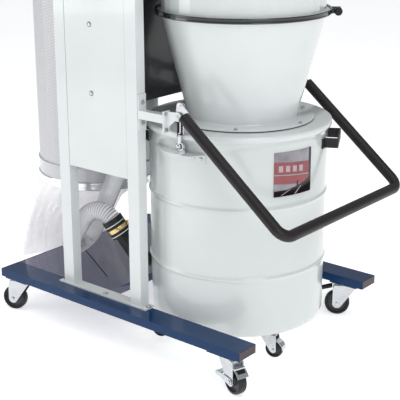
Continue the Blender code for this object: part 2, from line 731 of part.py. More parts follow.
def bell_crank(side_name, side):
    """Plate between the handle's arm, its pivot and the pin of the lifting link."""
    mirror = Matrix.Diagonal((1, -side, 1, 1))
    down = (HANDLE_CORNER - HANDLE_END).normalized()
    across = Vector((-down.z, 0, down.x))
    low = HANDLE_END - across * 0.0135
    high = HANDLE_END + across * 0.0135
    outline = [(high.x, high.z)]
    outline += arc((LIFT_PIN.x, LIFT_PIN.z), 0.0105, radians(35), radians(180), 6)
    outline += arc((PIVOT.x, PIVOT.z), 0.0115, radians(180), radians(290), 4)
    outline += [(low.x, low.z)]
    bm = bmesh.new()
    add_prism(bm, outline, 0, 0.004, mirror @ upright_plane(-0.2705))
    crank = finish_object(f"bell_crank_{side_name}", bm, ZINC, origin=(PIVOT.x, side * PIVOT.y, PIVOT.z))
    hole, pin = bmesh.new(), bmesh.new()
    add_revolved(
        hole, [(0, -0.001), (0.0056, -0.001), (0.0056, 0.006), (0, 0.006)], 12,
        mirror @ on_axis((PIVOT.x, -0.2755, PIVOT.z), (0, 1, 0)), closed=False,
    )
    add_revolved(
        pin, [(0, 0), (0.004, 0), (0.004, 0.0115), (0, 0.0115)], 12,
        mirror @ on_axis((LIFT_PIN.x, -0.2715, LIFT_PIN.z), (0, 1, 0)), closed=False,
    )
    carve(crank, tool(f"crank_hole_{side_name}", hole))
    weld(crank, tool(f"crank_pin_{side_name}", pin))


def lift_link(side_name, side):
    """Link from the crank's pin to the drum's tab: eye, slotted block, rod and a wide lower eye."""
    mirror = Matrix.Diagonal((1, -side, 1, 1))
    top = Vector((LIFT_PIN.x, LIFT_PIN.z))
    bottom = Vector((TAB_PIN.x, TAB_PIN.z))
    outline = [(top.x - 0.0075, 0.690), (top.x - 0.0075, 0.652), (bottom.x - 0.003, 0.651)]
    outline += arc(bottom, 0.0115, radians(105), radians(435), 14)
    outline += [(bottom.x + 0.005, 0.651), (top.x + 0.0065, 0.652), (top.x + 0.0065, 0.690)]
    outline += arc(top, 0.0090, radians(-30), radians(210), 8)
    bm = bmesh.new()
    add_prism(bm, outline, 0, 0.004, mirror @ upright_plane(-0.2625))
    link = finish_object(
        f"lift_link_{side_name}", bm, ZINC, origin=(LIFT_PIN.x, side * LIFT_PIN.y, LIFT_PIN.z),
    )
    for hole_name, centre, radius in (("top", LIFT_PIN, 0.0046), ("bottom", TAB_PIN, 0.0085)):
        hole = bmesh.new()
        add_revolved(
            hole, [(0, 0), (radius, 0), (radius, 0.008), (0, 0.008)], 12,
            mirror @ on_axis((centre.x, -0.2685, centre.z), (0, 1, 0)), closed=False,
        )
        carve(link, tool(f"link_hole_{hole_name}_{side_name}", hole))


# ---------------------------------------------------------------- filter side
def outlet_duct():
    """Square duct from the fan to the canister head, cut to the head's curve."""
    outside = ((-0.360, DUCT_Y[0], DUCT_Z[0]), (VOLUTE_END_X - GAP, DUCT_Y[1], DUCT_Z[1]))
    wall = 0.0025
    bm = bmesh.new()
    add_box(bm, *outside)
    duct = finish_object("outlet_duct", bm, WHITE, smooth=0)
    room, head = bmesh.new(), bmesh.new()
    add_box(room, (-0.40, DUCT_Y[0] + wall, DUCT_Z[0] + wall), (0.0, DUCT_Y[1] - wall, DUCT_Z[1] - wall))
    clear = HEAD_R + 0.0008
    add_revolved(head, [(0, 1.2), (clear, 1.2), (clear, 1.4), (0, 1.4)], ROUND, at(CANISTER), closed=False)
    carve(duct, tool("duct_room", room))
    carve(duct, tool("duct_end", head))


def canister_head():
    """Closed top of the filter: rests on the top plate by its flange and takes the duct in its side."""
    rest = TOP_PLATE_Z[1] + GAP
    low, high = HEAD_Z
    skin = 0.0025
    profile = [
        (HEAD_R, low), (HEAD_R, rest), (HEAD_R + 0.004, rest), (HEAD_R + 0.004, rest + 0.004),
        (HEAD_R, rest + 0.004),
        (HEAD_R, high - 0.010), (HEAD_R - 0.010, high), (0.0125, high), (0.0125, high - skin),
        (HEAD_R - 0.011, high - skin), (HEAD_R - skin, high - 0.011), (HEAD_R - skin, low),
    ]
    bm = bmesh.new()
    add_revolved(bm, profile, ROUND, at(CANISTER))
    head = finish_object("canister_head", bm, WHITE)
    mouth = bmesh.new()
    add_box(
        mouth, (-0.330, DUCT_Y[0] + 0.006, DUCT_Z[0] + 0.005),
        (-0.150, DUCT_Y[1] - 0.008, DUCT_Z[1] - 0.005),
    )
    carve(head, tool("head_mouth", mouth))


def filter_canister():
    """Perforated outer shell with a plain collar at its foot."""
    skin = 0.0020
    low, high = CANISTER_Z
    profile = [
        (CANISTER_R + 0.0012, low), (CANISTER_R + 0.0012, MESH_BOTTOM - 0.002), (CANISTER_R, MESH_BOTTOM),
        (CANISTER_R, high), (CANISTER_R - skin, high), (CANISTER_R - skin, low),
    ]
    bm = bmesh.new()
    add_revolved(bm, profile, ROUND, at(CANISTER))
    finish_object("filter_canister", bm, MESH_METAL)


def filter_media():
    """Pleated paper ring inside the shell."""
    pleats = 22
    low, high = 0.460, 1.110
    bm = bmesh.new()
    rings = []
    for z in (low, high):
        tips = [
            bm.verts.new(CANISTER + Vector((r * cos(a), r * sin(a), z)))
            for r, a in ((0.180 if i % 2 else 0.164, pi * i / pleats) for i in range(2 * pleats))
        ]
        core = [
            bm.verts.new(CANISTER + Vector((0.152 * cos(a), 0.152 * sin(a), z)))
            for a in (pi * i / pleats for i in range(2 * pleats))
        ]
        rings.append((tips, core))
    (tips_low, core_low), (tips_high, core_high) = rings
    for i in range(2 * pleats):
        j = (i + 1) % (2 * pleats)
        bm.faces.new((tips_low[i], tips_low[j], tips_high[j], tips_high[i]))
        bm.faces.new((core_low[j], core_low[i], core_high[i], core_high[j]))
        bm.faces.new((tips_low[j], tips_low[i], core_low[i], core_low[j]))
        bm.faces.new((tips_high[i], tips_high[j], core_high[j], core_high[i]))
    finish_object("filter_media", bm, PAPER, smooth=0)


def cleaning_gear():
    """Shaft with two paddles that beat the pleats, turned by the crank on the head."""
    bm = bmesh.new()
    shaft = [(0, 0.430), (0.007, 0.430), (0.007, 1.4105), (0, 1.4105)]
    add_revolved(bm, shaft, 12, at(CANISTER), closed=False)
    gear = finish_object("cleaning_shaft", bm, ZINC, origin=CANISTER + Vector((0, 0, 0.43)))
    paddles = bmesh.new()
    for low in (0.52, 0.84):
        add_box(
            paddles, (-0.146, -0.0015, low), (0.146, 0.0015, low + 0.22),
            at(CANISTER) @ Matrix.Rotation(radians(35 + 90 * (low > 0.6)), 4, "Z"),
        )
    weld(gear, tool("paddles", paddles))
    crank_base = Vector((CANISTER.x, CANISTER.y, 1.3965))
    crank = bmesh.new()
    collar = [(0.0075, 0), (0.018, 0), (0.018, 0.0135), (0.0075, 0.0135)]
    add_revolved(crank, collar, 16, at(crank_base))
    arm = finish_object("cleaning_crank", crank, BLACK_PLASTIC, origin=crank_base)
    bar, knob = bmesh.new(), bmesh.new()
    turned = at(crank_base) @ Matrix.Rotation(radians(-60), 4, "Z")
    add_box(bar, (0.0150, -0.009, 0.003), (0.125, 0.009, 0.011), turned)
    grip = [(0, 0), (0.006, 0.0), (0.011, 0.012), (0.013, 0.040), (0.008, 0.050), (0, 0.050)]
    add_revolved(knob, grip, 12, turned @ at((0.112, 0, 0.0095)), closed=False)
    weld(arm, tool("crank_bar", bar))
    weld(arm, tool("crank_knob", knob))


def bag_clamp():
    bm = bmesh.new()
    add_revolved(bm, [
        (CLAMP_R[0], CLAMP_Z[0]), (CLAMP_R[1], CLAMP_Z[0]), (CLAMP_R[1], CLAMP_Z[1]), (CLAMP_R[0], CLAMP_Z[1])
    ], ROUND, at(CANISTER))
    finish_object("bag_clamp", bm, ZINC)


def bag_section(height):
    """Outline of the bag at a height from 0 at the deck to 1 at the collar: a circle over a slumped foot."""
    sides = len(BAG_FOOT)
    away = 1 - height ** 1.7
    points = []
    for i in range(2 * sides):
        before, first, second, after = (Vector(BAG_FOOT[(i // 2 + k) % sides]) for k in (-1, 0, 1, 2))
        foot = first if i % 2 == 0 else (first + second) * 0.5625 - (before + after) * 0.0625
        angle = pi * i / sides
        ring = Vector((BAG_R * cos(angle), BAG_R * sin(angle)))
        points.append((foot * away + ring * (1 - away)).to_3d())
    return points


def dust_bag():
    """Soft bag that hangs from the collar and rests on the deck."""
    low, high = BEAM_Z[1] + 0.004, BAG_TOP
    bm = bmesh.new()
    rows = []
    for height in (0.0, 0.06, 0.25, 0.5, 0.75, 0.9, 1.0):
        shrink = 0.93 if height == 0.0 else 1.0
        base = CANISTER + Vector((0, 0, low + (high - low) * height))
        rows.append([bm.verts.new(base + p * shrink) for p in bag_section(height)])
    for lower, upper in zip(rows, rows[1:]):
        for i in range(len(lower)):
            j = (i + 1) % len(lower)
            bm.faces.new((lower[i], lower[j], upper[j], upper[i]))
    bm.faces.new(rows[0][::-1])
    bm.faces.new(rows[-1])
    finish_object("dust_bag", bm, CLEAR)


def hold_down_hose():
    """Free hose, as a plain tube along its route."""
    path = smooth_path(HOSE_ROUTE, 2)
    curve = bpy.data.curves.new("hold_down_hose", "CURVE")
    curve.dimensions = "3D"
    curve.bevel_depth = HOSE_R
    curve.bevel_resolution = 2
    curve.use_fill_caps = True
    spline = curve.splines.new("POLY")
    spline.points.add(len(path) - 1)
    for point, place in zip(spline.points, path):
        point.co = (*place, 1.0)
    curve.materials.append(material(HOSE))
    bpy.context.collection.objects.link(bpy.data.objects.new("hold_down_hose", curve))


def hose_fittings():
    """Cuff on the hose's end, and the nozzle that carries it on the drum's side."""
    start = CUFF_TOP + CUFF_AXIS * 0.001
    bm = bmesh.new()
    ring = [(0.0290, 0), (0.0315, 0), (0.0315, CUFF_LENGTH), (0.0290, CUFF_LENGTH)]
    add_revolved(bm, ring, 20, on_axis(start, CUFF_AXIS))
    finish_object("hose_cuff", bm, BLACK_PLASTIC)
    nozzle_top = CUFF_TOP + CUFF_AXIS * 0.016
    inward = Vector((DRUM.x - PORT_CORNER.x, DRUM.y - PORT_CORNER.y, 0)).normalized()
    root = DRUM - inward * (DRUM_R + 0.0008)
    root.z = PORT_CORNER.z
    start, end = PORT_CORNER - CUFF_AXIS * 0.032, PORT_CORNER + inward * 0.028
    bend = []
    for step in range(6):
        t = step / 5
        bend.append(start * (1 - t) ** 2 + PORT_CORNER * (2 * t * (1 - t)) + end * t ** 2)
    pipe = bmesh.new()
    add_sweep(pipe, [nozzle_top, *bend, root], PORT_R, 12, bore=PORT_R - 0.003)
    finish_object("drum_port", pipe, BLACK_PLASTIC)


# ---------------------------------------------------------------- casters
def wheel(name, centre, trail, radius, half, bore, segments):
    axis = Vector((-sin(trail), cos(trail), 0))
    place = on_axis(centre, axis)
    # start the rim straight below the axle, so that a corner of the tread meets the floor
    down = place.inverted().to_3x3() @ Vector((0, 0, -1))
    place = place @ Matrix.Rotation(atan2(down.y, down.x), 4, "Z")
    edge = radius * 0.09
    profile = [
        (bore, -half), (radius - edge, -half), (radius, -half * 0.6),
        (radius, half * 0.6), (radius - edge, half), (bore, half),
    ]
    bm = bmesh.new()
    add_revolved(bm, profile, segments, place)
    finish_object(name, bm, RUBBER, origin=centre)


def fork(name, pivot, trail, length, axle_z, top_z, inner, plate, axle_r, crown_r, lift):
    """Pressed fork: an inverted U whose cheeks narrow to the axle, its race on top, the axle across."""
    place = at((pivot[0], pivot[1], 0)) @ Matrix.Rotation(trail, 4, "Z") @ Matrix.Rotation(pi / 2, 4, "X")
    outer = inner + plate
    tip = crown_r * 0.6
    outline = [(-crown_r * 0.9, top_z)]
    outline += [(-crown_r * 0.9, top_z - 0.006)]
    outline += arc((length, axle_z), tip, radians(215), radians(350), 5)
    outline += [(length + crown_r * 0.55, top_z - 0.012), (length + crown_r * 0.40, top_z)]
    bm = bmesh.new()
    add_prism(bm, outline, -outer, outer, place)
    body = finish_object(name, bm, ZINC, origin=(pivot[0], pivot[1], top_z), smooth=0)
    room, race, axle = bmesh.new(), bmesh.new(), bmesh.new()
    add_box(room, (-0.08, -0.02, -inner), (0.12, top_z - plate, inner), place)
    centre = Vector((pivot[0], pivot[1], 0))
    add_revolved(
        race,
        [
            (0, top_z - plate * 0.5), (crown_r, top_z - plate * 0.5),
            (crown_r, top_z + lift), (0, top_z + lift),
        ],
        12, at(centre), closed=False,
    )
    middle = centre + Vector((cos(trail) * length, sin(trail) * length, axle_z))
    across = Vector((-sin(trail), cos(trail), 0))
    reach = outer + 0.003
    add_revolved(
        axle, [(0, 0), (axle_r, 0), (axle_r, 2 * reach), (0, 2 * reach)], 8,
        on_axis(middle - across * reach, across), closed=False,
    )
    carve(body, tool(name + "_room", room))
    weld(body, tool(name + "_race", race))
    weld(body, tool(name + "_axle", axle))
    return middle


def brake_pedal(name, pivot, trail):
    """Foot pedal hinged behind the fork's crown."""
    place = at((pivot[0], pivot[1], 0)) @ Matrix.Rotation(trail, 4, "Z") @ Matrix.Rotation(pi / 2, 4, "X")
    outline = [
        (0.0480, 0.0885), (0.0560, 0.0860), (0.0840, 0.0790), (0.0860, 0.0830), (0.0600, 0.0910),
        (0.0480, 0.0935),
    ]
    bm = bmesh.new()
    add_prism(bm, outline, -0.012, 0.012, place)
    hinge = Vector((pivot[0] + 0.050 * cos(trail), pivot[1] + 0.050 * sin(trail), 0.0910))
    finish_object(name, bm, BLACK_PLASTIC, origin=hinge, smooth=0)


def brake_lever(name, pivot, trail):
    """Side lever that turns on the end of the axle and reaches past the front of the wheel to a foot tab."""
    place = at((pivot[0], pivot[1], 0)) @ Matrix.Rotation(trail, 4, "Z") @ Matrix.Rotation(pi / 2, 4, "X")
    hub = (CASTER_TRAIL, WHEEL_R)
    face = 0.0182
    outline = arc(hub, 0.0105, radians(60), radians(-120), 7)
    outline += [(-0.0080, 0.0340), (-0.0300, 0.0360), (-0.0300, 0.0440), (0.0100, 0.0480)]
    bm = bmesh.new()
    add_prism(bm, outline, face, face + 0.0026, place)
    lever = finish_object(name, bm, ZINC, origin=place @ Vector((*hub, 0)), smooth=0)
    tab, hole = bmesh.new(), bmesh.new()
    add_box(tab, (-0.0300, 0.0410, -0.0060), (-0.0110, 0.0436, face + 0.001), place)
    add_revolved(
        hole, [(0, 0.015), (0.0056, 0.015), (0.0056, 0.025), (0, 0.025)], 10, place @ at((*hub, 0)),
        closed=False,
    )
    weld(lever, tool(name + "_tab", tab))
    carve(lever, tool(name + "_hole", hole))


def base_casters():
    for name, (x, y, trail) in CASTERS.items():
        middle = fork(
            f"caster_fork_{name}", (x, y), trail, CASTER_TRAIL, WHEEL_R, 0.0965, 0.0150, 0.0028, 0.005,
            0.024, 0.0066,
        )
        wheel(f"caster_wheel_{name}", middle, trail, WHEEL_R, WHEEL_HALF, 0.0056, 20)
    brake_pedal("brake_pedal_rear_right", CASTERS["rear_right"][:2], CASTERS["rear_right"][2])
    brake_lever("brake_lever_front_right", CASTERS["front_right"][:2], CASTERS["front_right"][2])


def drum_casters():
    for name, (angle, trail) in SMALL_CASTERS.items():
        pivot = (DRUM.x + SMALL_PIVOT_R * cos(angle), DRUM.y + SMALL_PIVOT_R * sin(angle))
        middle = fork(
            f"drum_caster_fork_{name}", pivot, trail, SMALL_TRAIL, SMALL_WHEEL_Z, 0.0830, 0.0118,
            0.0022, 0.0035, 0.016, 0.0050,
        )
        wheel(f"drum_caster_wheel_{name}", middle, trail, SMALL_WHEEL_R, SMALL_WHEEL_HALF, 0.0041, 16)


def switch():
    """Switch box on the front panel, with a paddle that rocks on its middle."""
    face = -0.2902 - GAP
    bm = bmesh.new()
    add_box(bm, (-0.132, -0.326, 1.020), (-0.032, face, 1.150))
    finish_object("switch_box", bm, BLACK_PLASTIC, smooth=0)
    paddle = bmesh.new()
    outline = [
        (-0.3303, 1.048), (-0.3350, 1.046), (-0.3330, 1.085), (-0.3350, 1.124), (-0.3303, 1.122),
        (-0.3263, 1.085),
    ]
    side_on = Matrix(((0, 0, 1, 0), (1, 0, 0, 0), (0, 1, 0, 0), (0, 0, 0, 1)))
    add_prism(paddle, outline, -0.104, -0.060, side_on)
    finish_object("switch_paddle", paddle, RED, origin=(-0.082, -0.3265, 1.085), smooth=0)


def build():
    for side_name, side in (("front", -1), ("rear", 1)):
        base_beam(side_name, side)
        upright_frame(side_name, side)
        pivot_bracket(side_name, side)
        bell_crank(side_name, side)
        lift_link(side_name, side)
    base_deck()
    panels()
    top_plate()
    cyclone_barrel()
    vortex_tube()
    clamp_band()
    clamp_knob()
    cyclone_cone()
    fan_housing()
    impeller()
    motor()
    drum_lid()
    drum()
    level_window()
    drum_handle("drum_handle_right", STRAP_ANGLE)
    drum_handle("drum_handle_left", STRAP_ANGLE + pi)
    lift_handle()
    outlet_duct()
    canister_head()
    filter_canister()
    filter_media()
    cleaning_gear()
    bag_clamp()
    dust_bag()
    hold_down_hose()
    hose_fittings()
    base_casters()
    drum_casters()
    switch()


for old in list(bpy.data.objects):
    bpy.data.objects.remove(old, do_unlink=True)
build()
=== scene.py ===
"""Looks for a portable two-stage dust collector: paint, metal, plastic and film on the CAD frame."""

from math import cos, pi, radians, sin

import bmesh
import bpy
from mathutils import Matrix, Vector, noise


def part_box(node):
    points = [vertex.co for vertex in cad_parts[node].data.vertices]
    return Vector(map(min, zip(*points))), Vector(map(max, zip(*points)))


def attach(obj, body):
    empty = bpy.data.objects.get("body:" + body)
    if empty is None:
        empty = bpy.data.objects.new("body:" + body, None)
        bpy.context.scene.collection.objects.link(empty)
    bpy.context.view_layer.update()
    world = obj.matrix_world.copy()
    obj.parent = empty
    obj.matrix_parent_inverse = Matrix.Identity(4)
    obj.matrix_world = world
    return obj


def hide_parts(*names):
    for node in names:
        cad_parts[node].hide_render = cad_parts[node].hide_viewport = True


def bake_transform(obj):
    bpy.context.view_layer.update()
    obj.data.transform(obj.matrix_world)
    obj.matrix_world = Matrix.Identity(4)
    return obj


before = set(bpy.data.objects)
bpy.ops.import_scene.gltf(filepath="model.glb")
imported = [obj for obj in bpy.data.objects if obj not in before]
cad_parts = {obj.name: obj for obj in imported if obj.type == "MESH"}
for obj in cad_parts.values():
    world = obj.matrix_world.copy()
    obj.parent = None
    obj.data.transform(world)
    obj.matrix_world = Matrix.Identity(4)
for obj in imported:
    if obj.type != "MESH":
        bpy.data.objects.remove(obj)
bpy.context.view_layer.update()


# -------- places taken from the frame
def axis_of(node):
    """The upright axis through the middle of a node's box."""
    low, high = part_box(node)
    middle = (low + high) / 2
    middle.z = 0
    return middle


def heights(node):
    return [corner.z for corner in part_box(node)]


DRUM = axis_of("drum_lid")
CYCLONE = axis_of("cyclone_cone")
CANISTER = axis_of("filter_canister")
CONE_LOW, CONE_HIGH = heights("cyclone_cone")
LID_LOW, LID_HIGH = heights("drum_lid")
BAND_LOW, BAND_HIGH = heights("clamp_band")
DRUM_TOP = heights("drum")[1]
LID_R = (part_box("drum_lid")[1].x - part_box("drum_lid")[0].x) / 2
CASTER_PLATE = 0.004  # hangs below the beam
BEAM_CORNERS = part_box("base_beam_front")
BEAM_LOW, BEAM_HIGH = BEAM_CORNERS[0].z + CASTER_PLATE, BEAM_CORNERS[1].z
BEAM_X = (BEAM_CORNERS[0].x, BEAM_CORNERS[1].x)
BEAM_Y = (-BEAM_CORNERS[1].y, -BEAM_CORNERS[0].y)
PANEL_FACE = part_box("front_panel")[0].y

# -------- the object's own measures, in metres and degrees
DRUM_R = 0.250
DRUM_LOW = 0.0865
DRUM_FLOOR = (0.0955, 0.0990)
BEADS = (0.256, 0.450)
CONE_R = (0.151, 0.2245)
CONE_BOLT_TURN = -58.0
CONE_BOLTS_R = 0.190
FLANGE_R = 0.200
BAND_R = (0.2352, 0.2400)
CANISTER_R = 0.188
HOLES_ROUND = 236
HOLE_ROW = 0.0044
WINDOW = (radians(-30.6), radians(-2.4), 0.485, 0.605)
PIVOT = Vector((0.204, 0.272, 0.700))
LIFT_PIN = Vector((0.206, 0.272, 0.727))
TAB_PIN = Vector((0.200, 0.272, 0.6186))
TAB_Z = (0.5985, 0.6015)
SMALL_CASTER_TURN = -29.5
PATCH_THICK = 0.0008
UP = (0, 0, 1)
HANDLE_END = Vector((0.226, 0.283, 0.704))
HANDLE_CORNER = Vector((0.545, 0.283, 0.446))
HANDLE_R = 0.015
HANDLE_BEND = 0.034
WASHER = 0.0012
HOSE_R = 0.0275
HOSE_ROUTE = [
    (-0.0490, -0.2000, 1.1500), (-0.0490, -0.2000, 1.0500), (-0.0510, -0.2020, 0.9000),
    (-0.0560, -0.2040, 0.7400), (-0.0629, -0.2032, 0.6327), (-0.0765, -0.1999, 0.5461),
    (-0.1010, -0.1935, 0.4780), (-0.1380, -0.1820, 0.4190), (-0.1800, -0.1660, 0.3620),
    (-0.2225, -0.1500, 0.3045), (-0.2640, -0.1430, 0.2440), (-0.2773, -0.1510, 0.2232),
    (-0.2856, -0.1720, 0.2104), (-0.2856, -0.1980, 0.2104), (-0.2773, -0.2190, 0.2232),
    (-0.2640, -0.2270, 0.2440), (-0.2290, -0.2275, 0.2960), (-0.1995, -0.2275, 0.3330),
    (-0.1640, -0.2262, 0.3550), (-0.1320, -0.2225, 0.3560), (-0.1086, -0.2175, 0.3421),
    (-0.0996, -0.2130, 0.3272),
]
CUFF_AXIS = Vector((0.50, 0.25, -0.83)).normalized()

BAG_R = 0.186
BAG_FOOT = [  # where the slumped bag meets the deck, about the canister's axis, every 30 degrees from +X
    (-0.092, 0.010), (-0.090, 0.062), (-0.088, 0.110), (-0.100, 0.150), (-0.132, 0.158), (-0.165, 0.105),
    (-0.183, 0.030), (-0.188, -0.085), (-0.183, -0.188), (-0.148, -0.130), (-0.115, -0.085), (-0.096, -0.040),
]


# -------- camera
def aim_camera():
    """Three-quarter view: about 40 degrees round from the front, looking slightly down."""
    azimuth, pitch, roll = radians(39.568), radians(16.256), radians(-0.191)
    data = bpy.data.cameras.new("camera")
    data.sensor_width = 36
    data.lens = 92.4
    data.shift_y = -0.08
    camera = bpy.data.objects.new("camera", data)
    camera.location = (1.8845, -2.224, 1.313)
    camera.matrix_world = (
        Matrix.Translation(camera.location)
        @ Matrix.Rotation(azimuth, 4, "Z")
        @ Matrix.Rotation(pi / 2 - pitch, 4, "X")
        @ Matrix.Rotation(roll, 4, "Z")
    )
    bpy.context.collection.objects.link(camera)
    bpy.context.scene.camera = camera


aim_camera()


# -------- materials
class Finish:
    """A material under construction: its shader, with short calls that add the nodes in front of it."""

    def __init__(self, name, colour, roughness, metallic=0.0, **sockets):
        self.material = bpy.data.materials.new(name)
        self.material.use_nodes = True
        self.tree = self.material.node_tree
        self.shader = self.tree.nodes["Principled BSDF"]
        self.colour = colour
        self.set(self.shader, "Base Color", (*colour, 1.0))
        self.set(self.shader, "Roughness", roughness)
        self.set(self.shader, "Metallic", metallic)
        for socket, value in sockets.items():
            self.set(self.shader, socket.replace("_", " "), value)
        self.place = self.node("ShaderNodeTexCoord").outputs["Object"]

    def set(self, node, socket, value):
        if hasattr(value, "is_output"):
            self.tree.links.new(value, node.inputs[socket])
        else:
            node.inputs[socket].default_value = value

    def node(self, kind, options=None, **inputs):
        made = self.tree.nodes.new(kind)
        for key, value in (options or {}).items():
            setattr(made, key, value)
        for socket, value in inputs.items():
            numbered = socket[0] == "i" and socket[1:].isdigit()
            self.set(made, int(socket[1:]) if numbered else socket.replace("_", " "), value)
        return made

    def math(self, operation, a, b=0.0):
        return self.node("ShaderNodeMath", {"operation": operation}, i0=a, i1=b).outputs[0]

    def stretched(self, scale):
        mapping = self.node("ShaderNodeMapping", Vector=self.place)
        mapping.inputs["Scale"].default_value = scale
        return mapping.outputs["Vector"]

    def cloud(self, scale, detail=3.0, place=None):
        place = place or self.place
        made = self.node("ShaderNodeTexNoise", Vector=place, Scale=scale, Detail=detail, Roughness=0.55)
        return made.outputs["Fac"]

    def ramp(self, value, low, high, to_low=0.0, to_high=1.0):
        made = self.node(
            "ShaderNodeMapRange", Value=value, From_Min=low, From_Max=high, To_Min=to_low, To_Max=to_high
        )
        return made.outputs[0]

    def mix(self, factor, a, b):
        made = self.node("ShaderNodeMix", {"data_type": "RGBA"}, i0=factor)
        for index, colour in ((6, a), (7, b)):
            made.inputs[index].default_value = (*colour, 1.0)
        return made.outputs[2]

    def vary(self, scale, low, high):
        """Breaks the flat colour up with soft patches, a little darker and a little lighter."""
        shade = [tuple(min(1.0, c * f) for c in self.colour) for f in (low, high)]
        self.set(self.shader, "Base Color", self.mix(self.ramp(self.cloud(scale), 0.3, 0.7), *shade))
        return self

    def rough(self, scale, low, high, place=None):
        self.set(self.shader, "Roughness", self.ramp(self.cloud(scale, place=place), 0.3, 0.7, low, high))

    def bump(self, height, strength, distance):
        made = self.node("ShaderNodeBump", Height=height, Strength=strength, Distance=distance)
        self.set(self.shader, "Normal", made.outputs["Normal"])


def paint(name, colour, roughness, peel=0.05, coat=0.6, spread=0.03, gloss=0.5):
    """Baked powder coat: gloss with a faint orange peel and slightly uneven depth."""
    made = Finish(name, colour, roughness, Coat_Weight=coat, Coat_Roughness=0.06, Specular_IOR_Level=gloss)
    made.shader.inputs["Coat IOR"].default_value = 1.2 + 0.6 * gloss
    made.vary(5.0, 1 - spread, 1 + spread)
    made.rough(18.0, roughness * 0.85, roughness * 1.2)
    made.bump(made.cloud(420.0, 2.0), peel, 0.0006)
    return made


def metal(name, colour, roughness, grain=(60, 60, 900)):
    made = Finish(name, colour, roughness, 1.0)
    made.vary(30.0, 0.90, 1.06)
    brushed = made.stretched(grain)
    made.rough(1.0, roughness * 0.7, roughness * 1.35, brushed)
    made.bump(made.cloud(1.0, 2.0, place=brushed), 0.12, 0.0003)
    return made


def moulded(name, colour, roughness, texture=0.15):
    made = Finish(name, colour, roughness, Specular_IOR_Level=0.30)
    made.vary(12.0, 0.8, 1.25)
    made.rough(40.0, roughness * 0.85, roughness * 1.15)
    made.bump(made.cloud(1600.0, 2.0), texture, 0.0003)
    return made


def perforated_sheet():
    """Grey sheet with staggered round holes, worked out from the angle round the canister and the height."""
    made = Finish("canister_mesh", (0.56, 0.56, 0.585), 0.42, 0.35)
    split = made.node("ShaderNodeSeparateXYZ", Vector=made.place)
    x = made.math("SUBTRACT", split.outputs["X"], CANISTER.x)
    angle = made.math("ARCTAN2", split.outputs["Y"], x)
    pitch = 2 * pi / HOLES_ROUND
    row = made.math("DIVIDE", split.outputs["Z"], HOLE_ROW)
    shift = made.math("MULTIPLY", made.math("FLOORED_MODULO", made.math("FLOOR", row), 2.0), 0.5)
    across = made.math("ADD", made.math("DIVIDE", angle, pitch), shift)
    u = made.math("SUBTRACT", made.math("FRACT", across), 0.5)
    v = made.math("SUBTRACT", made.math("FRACT", row), 0.5)
    away = made.math("SQRT", made.math("ADD", made.math("MULTIPLY", u, u), made.math("MULTIPLY", v, v)))
    sheet = made.ramp(away, 0.26, 0.34)
    made.set(made.shader, "Base Color", made.mix(sheet, (0.36, 0.355, 0.36), (0.68, 0.68, 0.70)))
    made.bump(sheet, 0.35, 0.0006)
    return made


def film(name, colour, alpha, roughness, painted_glow):
    """Thin translucent plastic that lets light through, with milky patches and fine crinkles, and an emission
    that is a painted glow brightening it.
    """
    made = Finish(name, colour, roughness, Alpha=alpha, Emission_Strength=painted_glow)
    made.shader.inputs["Emission Color"].default_value = (1.0, 0.99, 1.0, 1.0)
    milky = made.ramp(made.cloud(14.0, 4.0), 0.3, 0.7, alpha - 0.06, alpha + 0.08)
    made.set(made.shader, "Alpha", milky)
    made.bump(made.cloud(60.0, 5.0), 0.25, 0.003)
    made.set(made.shader, "Specular IOR Level", 0.45)
    return made


WHITE = paint("white_gloss_paint", (0.70, 0.735, 0.735), 0.20, 0.04)
WHITE_DRUM = paint("white_drum_paint", (0.66, 0.70, 0.69), 0.22, 0.05)
BLUE = paint("navy_gloss_paint", (0.005, 0.035, 0.112), 0.14, 0.04, coat=0.5, gloss=0.12)
DECK_BLUE = paint("navy_deck_paint", (0.014, 0.019, 0.100), 0.10, 0.04, coat=1.0, gloss=0.46)
SEAM = moulded("seam_grey", (0.36, 0.38, 0.39), 0.50)
CAP = moulded("beam_cap_grey", (0.066, 0.047, 0.054), 0.35)
DARK = paint("dark_panel_paint", (0.034, 0.034, 0.040), 0.20, 0.03, coat=0.4)
TUBE_BLACK = paint("black_powder_coat", (0.016, 0.013, 0.0145), 0.38, 0.30, coat=0.0, spread=0.15, gloss=0.3)
BAND_BLACK = paint("black_gloss_paint", (0.010, 0.011, 0.012), 0.18, 0.05, coat=0.7, spread=0.1)
ZINC = metal("zinc_plate", (0.60, 0.62, 0.645), 0.24)
CHROME = metal("bright_chrome", (0.62, 0.63, 0.65), 0.12, (200, 200, 200))
BRASS = metal("yellow_zinc", (0.72, 0.55, 0.26), 0.24, (300, 300, 300))
STEEL_BAND = metal("stainless_band", (0.80, 0.81, 0.83), 0.20, (30, 30, 1500))
BLACK = moulded("black_plastic", (0.014, 0.014, 0.015), 0.38)
RUBBER = moulded("wheel_black", (0.018, 0.018, 0.019), 0.42, 0.25)
GREY_HUB = moulded("wheel_hub", (0.055, 0.056, 0.060), 0.35)
RED = moulded("red_plastic", (0.60, 0.025, 0.03), 0.30, 0.05)
PAPER = moulded("filter_paper", (0.72, 0.70, 0.64), 0.90, 0.4)
CAST = metal("cast_aluminium", (0.56, 0.57, 0.58), 0.45, (500, 500, 500))
MOTOR_GREY = paint("motor_grey_paint", (0.050, 0.052, 0.058), 0.35, 0.3, coat=0.2)
COLLAR_GREY = paint("collar_grey", (0.60, 0.60, 0.63), 0.30, 0.04)
MESH_SHEET = perforated_sheet()
# The last number of each film is its painted glow, an emission that lightens the film as if lit through.
BAG_FILM = film("bag_film", (0.97, 0.95, 0.975), 0.60, 0.30, 0.16)
HOSE_FILM = film("hose_film", (0.92, 0.92, 0.95), 0.38, 0.20, 0.25)
WIRE = metal("hose_wire", (0.24, 0.25, 0.29), 0.34, (200, 200, 200))
SMOKE = Finish("window_grey", (0.31, 0.29, 0.325), 0.12, Coat_Weight=0.5).vary(16.0, 0.55, 1.35)
